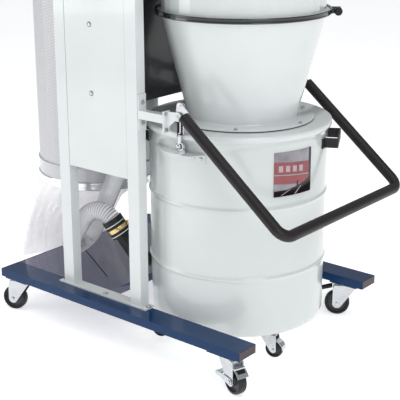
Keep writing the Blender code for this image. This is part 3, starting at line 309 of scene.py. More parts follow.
WINDOW_RED = Finish("window_red", (0.27, 0.040, 0.052), 0.14, Coat_Weight=0.5).vary(18.0, 0.75, 1.25)
WINDOW_BLACK = Finish("window_black", (0.010, 0.007, 0.009), 0.14, Coat_Weight=0.2).vary(14.0, 0.8, 1.3)
WINDOW_PALE = Finish("window_pale", (0.46, 0.36, 0.39), 0.14, Coat_Weight=0.5).vary(14.0, 0.9, 1.1)


# -------- mesh helpers
def piece(name, bm, finish, body, stands_for=(), smooth=35, bevel=0.0):
    """Turns a bmesh in frame coordinates into a piece that rides on a body, unless it is given none."""
    bmesh.ops.recalc_face_normals(bm, faces=bm.faces)
    mesh = bpy.data.meshes.new(name)
    bm.to_mesh(mesh)
    bm.free()
    mesh.materials.append(finish.material)
    obj = bpy.data.objects.new(name, mesh)
    bpy.context.collection.objects.link(obj)
    mesh.shade_smooth()
    mesh.set_sharp_from_angle(angle=radians(smooth))
    if bevel:
        add_bevel(obj, bevel)
    if body:
        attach(obj, body)
    if stands_for:
        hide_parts(*stands_for)
    return obj


def add_bevel(obj, width, segments=2):
    made = obj.modifiers.new("edge", "BEVEL")
    made.width = width
    made.segments = segments
    made.limit_method = "ANGLE"
    made.angle_limit = radians(35)
    made.harden_normals = False


def at(place):
    return Matrix.Translation(place)


def around(centre, radius, angle, height):
    """The point at a radius, an angle and a height about an upright axis."""
    return centre + Vector((radius * cos(angle), radius * sin(angle), height))


def revolved(bm, profile, segments, place, closed=True):
    """A turned solid about local Z. A closed profile is a ring; an open one starts and ends on the axis."""
    rings = []
    for radius, height in profile:
        if radius == 0:
            rings.append([bm.verts.new(place @ Vector((0, 0, height)))])
            continue
        angles = (2 * pi * i / segments for i in range(segments))
        spots = (Vector((radius * cos(a), radius * sin(a), height)) for a in angles)
        rings.append([bm.verts.new(place @ spot) for spot in spots])
    pairs = list(zip(rings, rings[1:]))
    if closed:
        pairs.append((rings[-1], rings[0]))
    for low, high in pairs:
        for i in range(segments):
            j = (i + 1) % segments
            corners = [low[i % len(low)], low[j % len(low)], high[j % len(high)], high[i % len(high)]]
            unique = list(dict.fromkeys(corners))
            if len(unique) > 2:
                bm.faces.new(unique)


def rounded(profile, radius, steps=3):
    """The profile with each of its corners rounded off."""
    out = []
    count = len(profile)
    for i, point in enumerate(profile):
        here = Vector(point)
        before, after = Vector(profile[i - 1]), Vector(profile[(i + 1) % count])
        reach = min(radius, (before - here).length * 0.45, (after - here).length * 0.45)
        start = here + (before - here).normalized() * reach
        end = here + (after - here).normalized() * reach
        for k in range(steps + 1):
            t = k / steps
            out.append(tuple(start * (1 - t) ** 2 + here * 2 * t * (1 - t) + end * t * t))
    return out


def tube_wall(inner, outer, low, high):
    """The square profile of a plain ring."""
    return [(inner, low), (outer, low), (outer, high), (inner, high)]


def prism(bm, outline, low, high, place=None):
    place = place or Matrix.Identity(4)
    bottom = [bm.verts.new(place @ Vector((x, y, low))) for x, y in outline]
    top = [bm.verts.new(place @ Vector((x, y, high))) for x, y in outline]
    bm.faces.new(bottom[::-1])
    bm.faces.new(top)
    for i in range(len(outline)):
        j = (i + 1) % len(outline)
        bm.faces.new((bottom[i], bottom[j], top[j], top[i]))


def block(bm, low, high, place=None):
    outline = [(low[0], low[1]), (high[0], low[1]), (high[0], high[1]), (low[0], high[1])]
    prism(bm, outline, low[2], high[2], place)


def tangent_at(points, i):
    return (points[min(i + 1, len(points) - 1)] - points[max(i - 1, 0)]).normalized()


def squared(normal, tangent):
    """The normal turned the least that makes it square to the tangent."""
    return (normal - tangent * normal.dot(tangent)).normalized()


def swept(bm, points, radius, sides, bore=None, caps=True):
    """A round bar along a path. The radius may be a number or a function of the distance along it."""
    rows, inner_rows, travelled = [], [], 0.0
    for i, point in enumerate(points):
        tangent = tangent_at(points, i)
        normal = squared(normal, tangent) if i else tangent.orthogonal().normalized()
        side = tangent.cross(normal)
        travelled += (point - points[i - 1]).length if i else 0.0
        size = radius(travelled) if callable(radius) else radius
        spokes = [normal * cos(a) + side * sin(a) for a in (2 * pi * k / sides for k in range(sides))]
        rows.append([bm.verts.new(point + spoke * size) for spoke in spokes])
        if bore:
            inner_rows.append([bm.verts.new(point + spoke * bore) for spoke in spokes])
    for group in (rows, inner_rows):
        for low, high in zip(group, group[1:]):
            for i in range(sides):
                j = (i + 1) % sides
                bm.faces.new((low[i], low[j], high[j], high[i]))
    if bore:
        for end in (0, -1):
            for i in range(sides):
                j = (i + 1) % sides
                bm.faces.new((rows[end][i], rows[end][j], inner_rows[end][j], inner_rows[end][i]))
    elif caps:
        bm.faces.new(rows[0])
        bm.faces.new(rows[-1])


def smooth_path(points, per_span):
    points = [Vector(p) for p in points]
    padded = [points[0] * 2 - points[1], *points, points[-1] * 2 - points[-2]]
    path = []
    for a, b, c, d in zip(padded, padded[1:], padded[2:], padded[3:]):
        for i in range(per_span):
            t = i / per_span
            path.append(0.5 * (
                2 * b + (c - a) * t + (2 * a - 5 * b + 4 * c - d) * t * t + (3 * b - a - 3 * c + d) * t ** 3
            ))
    path.append(points[-1])
    return path


def evenly(points, step):
    """The same path with points a fixed distance apart."""
    out, left = [points[0]], step
    for a, b in zip(points, points[1:]):
        length, done = (b - a).length, 0.0
        while length - done >= left:
            done += left
            out.append(a.lerp(b, done / length))
            left = step
        left -= length - done
    if (out[-1] - points[-1]).length > step * 0.3:
        out.append(points[-1])
    return out


def arc(centre, radius, start, end, steps):
    angles = (start + (end - start) * i / steps for i in range(steps + 1))
    return [(centre[0] + radius * cos(a), centre[1] + radius * sin(a)) for a in angles]


def shell_arc(centre, radii, start, end, steps):
    """A curved strip between two radii: along the outer one from start to end in degrees, and back."""
    inner, outer = radii
    start, end = radians(start), radians(end)
    return arc(centre, outer, start, end, steps) + arc(centre, inner, end, start, steps)


def on_axis(centre, direction):
    turn = Vector(direction).to_track_quat("Z", "Y").to_matrix().to_4x4()
    return at(centre) @ turn


def upright_plane(y):
    """Local XY becomes world XZ, and local Z becomes world -Y, from the plane at y."""
    return Matrix(((1, 0, 0, 0), (0, 0, -1, y), (0, 1, 0, 0), (0, 0, 0, 1)))


def hexagon(size, turn=0.0):
    return [(size * cos(a), size * sin(a)) for a in (turn + pi * i / 3 for i in range(6))]


def disc(bm, radius, low, high, segments, place):
    revolved(bm, [(0, low), (radius, low), (radius, high), (0, high)], segments, place, closed=False)


def add_hex_bolt(bm, centre, direction, size, washer=True, turn=0.3, stud=0.0):
    place = on_axis(centre, direction)
    base = WASHER if washer else 0.0
    if washer:
        disc(bm, size * 1.35, 0, WASHER, 20, place)
    prism(bm, hexagon(size, turn), base, base + size * 0.75, place)
    if stud:
        disc(bm, size * 0.5, base, base + stud, 12, place)


def add_bolt_circle(bm, centre, radius, height, count, turn, size, stud=0.0):
    for i in range(count):
        spot = around(centre, radius, 2 * pi * i / count + turn, height)
        add_hex_bolt(bm, spot, UP, size, stud=stud)


def add_pan_screw(bm, centre, direction, size, turn=0.4):
    """A plain domed head."""
    place = on_axis(centre, direction) @ Matrix.Rotation(turn, 4, "Z")
    rim = [(0, -0.001), (size, -0.001), (size, 0.0008)]
    dome = [(size * 0.85, 0.002), (size * 0.5, 0.0028), (0, 0.003)]
    revolved(bm, rim + dome, 20, place, closed=False)


def finish_node(node, finish, bevel=0.0, segments=2, smooth=35):
    """Keeps a CAD node's shape, softens its edges and gives it its finish."""
    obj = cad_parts[node]
    obj.data.materials.clear()
    obj.data.materials.append(finish.material)
    obj.data.shade_smooth()
    obj.data.set_sharp_from_angle(angle=radians(smooth))
    if bevel:
        add_bevel(obj, bevel, segments)


# -------- hose, first because it is the free piece
def make_hose():
    step, pitch = 0.0016, 0.0064
    path = evenly(smooth_path(HOSE_ROUTE, 16), step)

    def skin(s):
        return HOSE_R - 0.0017 + 0.0014 * cos(2 * pi * s / pitch)

    bm = bmesh.new()
    swept(bm, path, skin, 28, caps=False)
    hose = piece("hold_down_hose_skin", bm, HOSE_FILM, None, ["hold_down_hose"], smooth=80)
    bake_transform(hose)
    # the wire winds inside the skin, one turn to each rib
    coil, travelled = [], 0.0
    normal = Vector((1, 0, 0))
    for i, point in enumerate(path):
        tangent = tangent_at(path, i)
        normal = squared(normal, tangent)
        side = tangent.cross(normal)
        travelled += (point - path[i - 1]).length if i else 0.0
        next_point = path[min(i + 1, len(path) - 1)]
        for part in (0, 0.25, 0.5, 0.75):
            a = 2 * pi * (travelled + step * part) / pitch
            coil.append(point.lerp(next_point, part) + (normal * cos(a) + side * sin(a)) * (HOSE_R - 0.0012))
    wire = bmesh.new()
    swept(wire, coil, 0.0010, 5)
    spring = piece("hold_down_hose_wire", wire, WIRE, None, smooth=60)
    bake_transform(spring)


make_hose()


def make_hose_fittings():
    """Black cuff with two pale rings and a worm-drive clamp, on the nozzle that enters the drum's side."""
    start = Vector(HOSE_ROUTE[-1]) - CUFF_AXIS * 0.016
    place = on_axis(start, CUFF_AXIS)
    cuff = bmesh.new()
    profile = [(0.0275, 0), (0.0312, 0), (0.0312, 0.056), (0.0240, 0.058), (0.0220, 0.058), (0.0220, 0.003)]
    revolved(cuff, rounded(profile, 0.0016), 40, place)
    piece("hose_cuff_shell", cuff, BLACK, "drum", ["hose_cuff"])
    rings = bmesh.new()
    for low in (0.016, 0.048):
        revolved(rings, rounded(tube_wall(0.0305, 0.0325, low, low + 0.0028), 0.0009), 40, place)
    piece("hose_cuff_rings", rings, WHITE, "drum")
    clamp = bmesh.new()
    low = 0.0275
    revolved(clamp, rounded(tube_wall(0.0308, 0.0320, low, low + 0.012), 0.0004), 40, place)
    screw = place @ Matrix.Rotation(radians(60), 4, "Z") @ at((0.0350, -0.010, low + 0.006))
    turned = screw @ Matrix.Rotation(-pi / 2, 4, "X")
    disc(clamp, 0.0044, 0, 0.020, 16, turned)
    prism(clamp, hexagon(0.0052), 0.020, 0.025, turned)
    piece("hose_clamp", clamp, BRASS, "drum", bevel=0.0003)


make_hose_fittings()


# -------- base and uprights
def make_base():
    for node, finish in (("base_beam_front", BLUE), ("base_beam_rear", BLUE), ("base_deck", DECK_BLUE)):
        finish_node(node, finish, 0.0016, 3)
    caps, low, high = bmesh.new(), BEAM_LOW + 0.0006, BEAM_HIGH - 0.0006
    for side in (-1, 1):
        y = sorted((side * BEAM_Y[0], side * BEAM_Y[1]))
        for x, out in ((BEAM_X[0], -1), (BEAM_X[1], 1)):
            ends = sorted((x - out * 0.0005, x + out * 0.0008))
            block(caps, (ends[0], y[0] + 0.0008, low), (ends[1], y[1] - 0.0008, high))
    piece("beam_end_caps", caps, CAP, "machine", bevel=0.0006)
    # the joint between the deck and each beam, and the deck's raised left rim
    lines = bmesh.new()
    deck_low, deck_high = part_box("base_deck")
    left, top, inner = deck_low.x, deck_high.z, BEAM_Y[0]
    for y in (-inner, inner):
        block(lines, (left, y - 0.0008, top - 0.0002), (deck_high.x, y + 0.0008, top + 0.0002))
    block(lines, (left - 0.0004, -inner, top - 0.004), (left + 0.0016, inner, top + 0.0006))
    piece("deck_joints", lines, WINDOW_BLACK, "machine")
    # a thin dark cord lying loose on the deck
    wire = bmesh.new()
    lie = top + 0.0014
    route = [(-0.400, -0.040), (-0.385, -0.060), (-0.330, -0.092), (-0.250, -0.135), (-0.1715, -0.1786)]
    swept(wire, smooth_path([Vector((x, y, lie)) for x, y in route], 8), 0.0013, 6)
    piece("dark_deck_cord", wire, BLACK, "machine")


def make_uprights():
    for side in ("front", "rear"):
        finish_node(f"upright_frame_{side}", WHITE, 0.0022, 3)
        finish_node(f"pivot_bracket_{side}", WHITE, 0.0008)
    for node in ("front_panel", "rear_panel", "top_plate"):
        finish_node(node, WHITE, 0.0008)
    finish_node("divider_panel", DARK, 0.0004)
    # The dark rings round the screw heads are painted shade, standing in for the recess each screw sits in.
    screws, recess_shade = bmesh.new(), bmesh.new()
    for side in (-1, 1):
        face, out = side * -PANEL_FACE, (0, side, 0)
        for z in (0.913, 0.724, 1.104):
            add_pan_screw(screws, (-0.098, face, z), out, 0.0058)
            revolved(recess_shade, tube_wall(0.0056, 0.0074, 0, 0.0004), 24, on_axis((-0.098, face, z), out))
        for x, y in ((-0.075, 0.282), (-0.246, 0.2765), (0.084, 0.273)):
            add_pan_screw(screws, (x, side * y, 0.1368), UP, 0.0055)
            revolved(recess_shade, tube_wall(0.0054, 0.0072, 0, 0.0005), 24, on_axis((x, side * y, 0.1366), UP))
        for x in (-0.216, 0.052):
            add_pan_screw(screws, (x, side * 0.275, 1.2066), UP, 0.0050)
    piece("frame_screws", screws, ZINC, "machine")
    piece("screw_recess_shade", recess_shade, GREY_HUB, "machine")
    seams = bmesh.new()
    low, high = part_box("front_panel")
    for side in (-1, 1):
        faces = sorted((side * (-PANEL_FACE + 0.0002), side * (-PANEL_FACE - 0.0008)))
        for x in (low.x - 0.0002, high.x - 0.0010):
            block(seams, (x, faces[0], low.z), (x + 0.0012, faces[1], high.z))
    piece("panel_seams", seams, SEAM, "machine")


make_base()
make_uprights()


# -------- cyclone, band and lid
def make_cone():
    foot, mouth = CONE_R
    flange_top, lip = CONE_LOW + 0.0035, BAND_R[0] - 0.0007
    outside = [
        (foot - 0.002, CONE_LOW), (FLANGE_R, CONE_LOW), (FLANGE_R, flange_top),
        (foot + 0.004, flange_top + 0.0003), (foot + 0.002, CONE_LOW + 0.008),
        (mouth, CONE_HIGH - 0.006), (mouth + 0.004, CONE_HIGH - 0.0035),
        (lip, CONE_HIGH - 0.003), (lip, CONE_HIGH), (mouth - 0.002, CONE_HIGH),
    ]
    bm = bmesh.new()
    revolved(bm, rounded(outside, 0.0012, 2), 120, at(CYCLONE))
    piece("cyclone_cone_shell", bm, WHITE, "machine", ["cyclone_cone"])
    seam = bmesh.new()
    turn = radians(140)
    low = around(CYCLONE, foot + 0.0022, turn, CONE_LOW + 0.008)
    high = around(CYCLONE, mouth + 0.0002, turn, CONE_HIGH - 0.006)
    swept(seam, [low.lerp(high, i / 40) for i in range(41)], 0.0014, 8)
    piece("cone_weld", seam, WHITE, "machine")
    screws, turn = bmesh.new(), radians(CONE_BOLT_TURN)
    add_bolt_circle(screws, CYCLONE, CONE_BOLTS_R, CONE_LOW + 0.0036, 6, turn, 0.0046, stud=0.003)
    piece("cone_bolts", screws, ZINC, "machine", bevel=0.0003)
    gasket = bmesh.new()
    squeezed = tube_wall(CONE_BOLTS_R, FLANGE_R - 0.0008, LID_HIGH + 0.0001, CONE_LOW - 0.0001)
    revolved(gasket, squeezed, 96, at(CYCLONE))
    piece("cone_gasket", gasket, BLACK, "machine")


def make_band():
    bm = bmesh.new()
    place = at(CYCLONE)
    inner, outer = BAND_R
    middle = (BAND_LOW + BAND_HIGH) / 2
    profile = [
        (inner, BAND_LOW), (outer - 0.0012, BAND_LOW), (outer, BAND_LOW + 0.002), (outer - 0.0008, middle),
        (outer, BAND_HIGH - 0.002), (outer - 0.0012, BAND_HIGH), (inner, BAND_HIGH),
    ]
    revolved(bm, profile, 120, place)
    turn = place @ Matrix.Rotation(radians(36), 4, "Z")
    for shift in (-0.020, 0.010):
        block(bm, (outer - 0.002, shift - 0.0035, BAND_LOW), (outer + 0.023, shift + 0.0035, BAND_HIGH), turn)
    piece("clamp_band_ring", bm, BAND_BLACK, "machine", ["clamp_band"], bevel=0.0006)
    bolt = bmesh.new()
    along = turn.to_3x3() @ Vector((0, 1, 0))
    centre = turn @ Vector((outer + 0.014, 0, middle))
    swept(bolt, [centre - along * 0.0240, centre + along * 0.022], 0.0028, 12)
    add_hex_bolt(bolt, centre + along * 0.0140, along, 0.0052, washer=False)
    piece("clamp_bolt", bolt, ZINC, "machine", bevel=0.0003)
    finish_node("clamp_knob", BLACK, 0.0008)


def make_lid():
    skin, bend, opening = 0.002, 0.0055, 0.166
    corner = (LID_R - bend, LID_HIGH - bend)
    profile = [(opening, LID_HIGH - skin), (LID_R - bend, LID_HIGH - skin)]
    profile += arc(corner, 0.0033, radians(80), 0, 3)
    profile += [(LID_R - 0.0022, LID_LOW), (LID_R - 0.0006, LID_LOW), (LID_R, LID_LOW + 0.0008)]
    profile += [(LID_R, LID_HIGH - bend)] + arc(corner, bend, radians(12), pi / 2, 6) + [(opening, LID_HIGH)]
    bm = bmesh.new()
    revolved(bm, profile, 128, at(DRUM))
    piece("drum_lid_shell", bm, WHITE, "machine", ["drum_lid"], smooth=50)


make_cone()
make_band()
make_lid()
for node in ("cyclone_barrel", "vortex_tube", "fan_housing", "outlet_duct", "canister_head"):
    finish_node(node, WHITE, 0.0006, smooth=30)
finish_node("impeller", CAST, 0.0004)
finish_node("motor", MOTOR_GREY, 0.0010)


# -------- drum
def make_drum():
    r = DRUM_R
    under, floor = DRUM_FLOOR
    profile = [(0, under), (0.228, under), (0.233, DRUM_LOW), (0.2405, DRUM_LOW), (0.2438, DRUM_LOW + 0.0016)]
    profile += [(r - 0.0040, 0.0925), (r - 0.0028, 0.0980), (r - 0.0024, 0.110), (r - 0.0022, 0.180)]
    for bead in BEADS:
        profile += [(r - 0.0012, bead - 0.016)]
        for t in range(-4, 5):
            profile += [(r - 0.0012 + 0.0040 * (0.5 + 0.5 * cos(pi * t / 4)), bead + 0.0080 * t / 4)]
        profile += [(r - 0.0010, bead + 0.016)]
    profile += [(r, DRUM_TOP - 0.034), (r, DRUM_TOP - 0.021), (r + 0.0040, DRUM_TOP - 0.0165)]
    profile += arc((r + 0.0028, DRUM_TOP - 0.010), 0.0032, radians(-60), radians(150), 8)
    profile += [(r - 0.002, DRUM_TOP - 0.014), (r - 0.003, DRUM_TOP - 0.022), (r - 0.0060, 0.108)]
    profile += [(0.232, floor), (0, floor)]
    bm = bmesh.new()
    revolved(bm, profile, 144, at(DRUM), closed=False)
    piece("drum_shell", bm, WHITE_DRUM, "drum", ["drum"], smooth=50)
    make_lift_tabs()
    seam = bmesh.new()
    turn = radians(-160)
    swept(seam, [around(DRUM, r - 0.0008, turn, 0.110 + 0.135 * i / 20) for i in range(21)], 0.0016, 8)
    piece("drum_weld", seam, WHITE_DRUM, "drum")
    plates = bmesh.new()
    for angle in (SMALL_CASTER_TURN, -118, 152, 62):
        turned = at(DRUM) @ Matrix.Rotation(radians(angle), 4, "Z")
        block(plates, (0.187, -0.021, 0.0886), (0.231, 0.021, 0.0925), turned)
        for x, y in ((0.192, -0.016), (0.192, 0.016), (0.226, -0.016), (0.226, 0.016)):
            add_hex_bolt(plates, turned @ Vector((x, y, 0.0888)), (0, 0, -1), 0.0032, washer=False)
    piece("drum_caster_plates", plates, ZINC, "drum", bevel=0.0006)


def make_lift_tabs():
    """On each side a flat tab on a curved skirt, with an upright eye for the link's pin."""
    r = DRUM_R
    tabs, lugs = bmesh.new(), bmesh.new()
    outline = arc((0, 0), r - 0.0005, radians(-73), radians(-112), 24)
    outline += [(-0.098, -0.2380), (-0.060, -0.2640), (-0.030, -0.2830)]
    outline += [(0.046, -0.2840), (0.056, -0.2795), (0.078, -0.2455)]
    skirt = shell_arc((0, 0), (r - 0.0005, r + 0.0022), -72, -113, 24)
    for side in (1, -1):
        drawn = outline if side > 0 else outline[::-1]
        mirrored = at(DRUM) @ Matrix.Diagonal((1, side, 1, 1))
        prism(tabs, drawn, *TAB_Z, mirrored)
        prism(tabs, skirt, 0.5750, 0.6000, mirrored)
        eye = arc((0.014, TAB_PIN.z), 0.009, radians(-5), radians(185), 10) + [(0.005, 0.601), (0.023, 0.601)]
        prism(lugs, eye, 0, 0.003, mirrored @ upright_plane(-0.2560))
        for a in (radians(-80), radians(-75), radians(-104)):
            out = Vector((cos(a), side * sin(a), 0))
            add_pan_screw(lugs, DRUM + out * (r + 0.0026) + Vector((0, 0, 0.589)), out, 0.0045)
    piece("drum_lift_tabs", tabs, WHITE_DRUM, "drum", bevel=0.0008)
    piece("drum_tab_lugs", lugs, ZINC, "drum", bevel=0.0003)


def curved_patch(bm, corners, radius, steps=16):
    """A patch that lies on the drum. Corners are (angle, height), in order round it."""
    a, b, c, d = (Vector(p) for p in corners)
    rows = []
    for level in (radius, radius + PATCH_THICK):
        for start, end in ((a, b), (d, c)):
            flat = [start.lerp(end, i / steps) for i in range(steps + 1)]
            rows.append([bm.verts.new(around(DRUM, level, p.x, p.y)) for p in flat])
    low_in, high_in, low_out, high_out = rows
    for i in range(steps):
        bm.faces.new((low_out[i], low_out[i + 1], high_out[i + 1], high_out[i]))
        bm.faces.new((low_in[i + 1], low_in[i], high_in[i], high_in[i + 1]))
        bm.faces.new((low_in[i], low_in[i + 1], low_out[i + 1], low_out[i]))
        bm.faces.new((high_in[i + 1], high_in[i], high_out[i], high_out[i + 1]))
    bm.faces.new((low_in[0], low_out[0], high_out[0], high_in[0]))
    bm.faces.new((low_in[-1], high_in[-1], high_out[-1], low_out[-1]))


def make_window():
    """Level window: smoky top, a red band with pale blocks, a narrow red band, and dark dust below."""
    left, right, low, high = WINDOW
    width, height = right - left, high - low
    face = DRUM_R + PATCH_THICK
    edge, drop = 0.935, -0.09  # the bands end at the dark edge and fall towards it

    def spot(u, v):
        return (left + width * u, low + height * v)

    def strip(bm, u0, v0, u1, v1, lift, slope=0.0):
        corners = [spot(u0, v0), spot(u1, v0 + slope), spot(u1, v1 + slope), spot(u0, v1)]
        curved_patch(bm, corners, face + lift)

    pane = bmesh.new()
    strip(pane, 0.0, 0.0, 1.0, 1.0, 0.0)
    piece("window_pane", pane, SMOKE, "drum", ["level_window"])
    red = bmesh.new()
    strip(red, 0.0, 0.52, edge, 0.79, 0.0008, drop)
    strip(red, 0.0, 0.30, edge, 0.485, 0.0008, drop)
    piece("window_red_bands", red, WINDOW_RED, "drum")
    dark = bmesh.new()
    strip(dark, edge, 0.0, 1.0, 1.0, 0.0010)
    dust = [(0.0, 0.13), (0.30, 0.135), (0.55, 0.18), (0.78, 0.25), (edge, 0.33)]
    for (u0, v0), (u1, v1) in zip(dust, dust[1:]):
        curved_patch(dark, [spot(u0, 0.0), spot(u1, 0.0), spot(u1, v1), spot(u0, v0)], face + 0.0010, steps=5)
    strip(dark, 0.575, 0.16, 0.610, 0.30, 0.0018)
    piece("window_dark_edge", dark, WINDOW_BLACK, "drum")
    pale = bmesh.new()
    strip(pale, 0.0, 0.492, edge, 0.512, 0.0012, drop)
    for i in range(4):
        u = 0.10 + 0.175 * i
        strip(pale, u, 0.575 + drop * u, u + 0.105, 0.715 + drop * u, 0.0016, -0.01)
    for u0, u1, v0, v1 in ((0.16, 0.42, 0.03, 0.15), (0.50, 0.70, 0.02, 0.18)):
        streak = [spot(u0, v0), spot(u0 + 0.035, v0), spot(u1, v1), spot(u1 - 0.02, v1)]
        curved_patch(pale, streak, face + 0.0020)
    piece("window_pale_marks", pale, WINDOW_PALE, "drum")


make_drum()
make_window()
for node in ("drum_handle_right", "drum_handle_left"):
    finish_node(node, BLACK, 0.0012)
finish_node("drum_port", BLACK)


# -------- lift handle and linkage
def on_side(place, side):
    return Vector((place.x, side * place.y, place.z))


def make_handle():
    def arm(side):
        end, corner = on_side(HANDLE_END, side), on_side(HANDLE_CORNER, side)
        down = (corner - end).normalized()
        across = Vector((0, -side, 0))
        centre = corner - down * HANDLE_BEND + across * HANDLE_BEND
        turns = [pi / 2 * i / 14 for i in range(15)]
        bend = [centre - across * HANDLE_BEND * cos(a) + down * HANDLE_BEND * sin(a) for a in turns]
        straight = [end.lerp(bend[0], i / 10) for i in range(10)]
        return straight + bend

    bm = bmesh.new()
    swept(bm, arm(-1) + arm(1)[::-1], HANDLE_R, 36, bore=HANDLE_R - 0.002)
    piece("lift_handle_tube", bm, TUBE_BLACK, "handle", ["lift_handle"], smooth=40)
    for name, side in (("front", -1), ("rear", 1)):
        finish_node(f"bell_crank_{name}", ZINC, 0.0006)
        finish_node(f"lift_link_{name}", ZINC, 0.0005)
        pin = bmesh.new()
        out = (0, side, 0)
        face = on_axis((LIFT_PIN.x, side * 0.2740, LIFT_PIN.z), out)
        flat_end = [(0, 0), (0.0056, 0), (0.0056, 0.0009), (0.0044, 0.0013), (0, 0.0013)]
        revolved(pin, flat_end, 28, face, closed=False)
        piece(f"crank_fasteners_{name}", pin, CHROME, "handle")
        pivots = bmesh.new()
        add_hex_bolt(pivots, Vector((PIVOT.x, side * 0.2780, PIVOT.z)), out, 0.0055, stud=0.0055)
        for z in (0.721, 0.666):
            add_hex_bolt(pivots, Vector((0.0766, side * 0.2745, z)), (1, 0, 0), 0.0050)
        for z in (0.703, 0.662):
            add_hex_bolt(pivots, Vector((0.1674, side * 0.2840, z)), (1, 0, 0), 0.0042)
        piece(f"bracket_bolts_{name}", pivots, ZINC, "machine", bevel=0.0003)
        make_link_details(name, side)


def make_link_details(name, side):
    """Black slotted block, bright rod with a lock nut, and the ball end at the drum's tab."""
    y = side * 0.2645
    top = Vector((LIFT_PIN.x, y, LIFT_PIN.z))
    foot = Vector((TAB_PIN.x - 0.0055, y, TAB_PIN.z))
    body = f"link_{name}"
    sleeve = bmesh.new()
    near, far = sorted((side * 0.2620, side * 0.2697))
    for x in (top.x - 0.0138, top.x - 0.0012):
        block(sleeve, (x, near, 0.6520), (x + 0.0030, far, 0.6960))
    block(sleeve, (top.x - 0.0138, near, 0.6490), (top.x + 0.0018, far, 0.6530))
    piece(f"link_sleeve_{name}", sleeve, BLACK, body, bevel=0.0008)
    rod = bmesh.new()
    rod_top = Vector((top.x - 0.0075, y, 0.655))
    swept(rod, [rod_top.lerp(foot, i / 6 * 0.85) for i in range(7)], 0.0052, 16)
    prism(rod, hexagon(0.0078), 0, 0.005, on_axis(rod_top.lerp(foot, 0.22), foot - rod_top))
    ball_r = 0.0092
    ball = arc((0, 0), ball_r, -pi / 2, pi / 2, 16)
    ball[0], ball[-1] = (0, -ball_r), (0, ball_r)
    revolved(rod, ball, 24, at(foot), closed=False)
    piece(f"link_rod_{name}", rod, CHROME, body)


make_handle()


# -------- casters
def add_wheel(bm, centre, trail, radius, half, profile):
    axis = Vector((-sin(trail), cos(trail), 0))
    revolved(bm, [(radius * r, half * h) for r, h in profile], 56, on_axis(centre, axis))


def both_halves(profile):
    """A wheel's section from one half of it, as shares of the radius and of half the width."""
    return profile + [(r, -h) for r, h in reversed(profile)]


TYRE = both_halves([
    (0.70, -0.50), (0.76, -0.62), (0.80, -0.92), (0.90, -1.0), (0.955, -0.90), (0.985, -0.70), (1.0, -0.35),
])
HUB = both_halves([
    (0.16, -1.02), (0.30, -1.02), (0.34, -0.80), (0.40, -0.35), (0.66, -0.35), (0.71, -0.60), (0.74, -0.60),
])


def make_caster(prefix, corner, trail, radius, half):
    """Tyre, hub and axle nuts. The trail is the direction from the swivel to the wheel."""
    fork_node, wheel_node = f"{prefix}caster_fork_{corner}", f"{prefix}caster_wheel_{corner}"
    low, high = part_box(wheel_node)
    centre = (low + high) / 2
    wheel_body = f"{prefix}wheel_{corner}"
    finish_node(fork_node, ZINC, radius * 0.026, 3)
    tyre, hub = bmesh.new(), bmesh.new()
    add_wheel(tyre, centre, trail, radius, half, TYRE)
    add_wheel(hub, centre, trail, radius, half, HUB)
    piece(f"{prefix}tyre_{corner}", tyre, RUBBER, wheel_body, [wheel_node])
    piece(f"{prefix}hub_{corner}", hub, GREY_HUB, wheel_body)
    across = Vector((-sin(trail), cos(trail), 0))
    axle = bmesh.new()
    reach = half + radius * 0.14
    for side in (-1, 1):
        add_hex_bolt(axle, centre + across * side * reach, across * side, radius * 0.125, turn=0.2 * side)
    fork_body = f"{prefix}caster_{corner}"
    piece(f"{prefix}axle_nuts_{corner}", axle, ZINC, fork_body, bevel=radius * 0.008)


BASE_CASTERS = {  # swivel x and y, and the direction of the wheel from it, in degrees
    "front_left": (-0.409, -0.301, -160),
    "front_right": (0.389, -0.301, -18),
    "rear_left": (-0.409, 0.301, 170),
    "rear_right": (0.383, 0.301, -148),
}
DRUM_TRAILS = {"front_right": 12, "front_left": -157, "rear_left": 180, "rear_right": 20}


def make_casters():
    bolts, races = bmesh.new(), bmesh.new()
    for corner, (x, y, trail) in BASE_CASTERS.items():
        make_caster("", corner, radians(trail), 0.038, 0.0125)
        for dx in (-0.036, 0.036):
            for dy in (-0.024, 0.024):
                add_hex_bolt(bolts, (x + dx, y + dy, 0.1034), (0, 0, -1), 0.0050)
        place = at((x, y, 0))
        plate = [(-0.046, -0.0310), (0.046, -0.0310), (0.046, 0.0310), (-0.046, 0.0310)]
        prism(races, rounded(plate, 0.008), 0.1008, 0.1032, place)
        race = [(0.010, 0.0972), (0.0255, 0.0972), (0.0270, 0.1008), (0.010, 0.1008)]
        revolved(races, rounded(race, 0.001), 36, place)
    piece("caster_plate_bolts", bolts, ZINC, "machine", bevel=0.0003)
    piece("caster_plates", races, ZINC, "machine")
    for corner, trail in DRUM_TRAILS.items():
        make_caster("drum_", corner, radians(trail), 0.025, 0.010)
    finish_node("brake_pedal_rear_right", BLACK, 0.0012)
    finish_node("brake_lever_front_right", ZINC, 0.0006)


def caster_plane(x, y, trail):
    """Local X runs along the caster's trail, local Y up, from the floor below its swivel."""
    return at((x, y, 0)) @ Matrix.Rotation(radians(trail), 4, "Z") @ Matrix.Rotation(pi / 2, 4, "X")


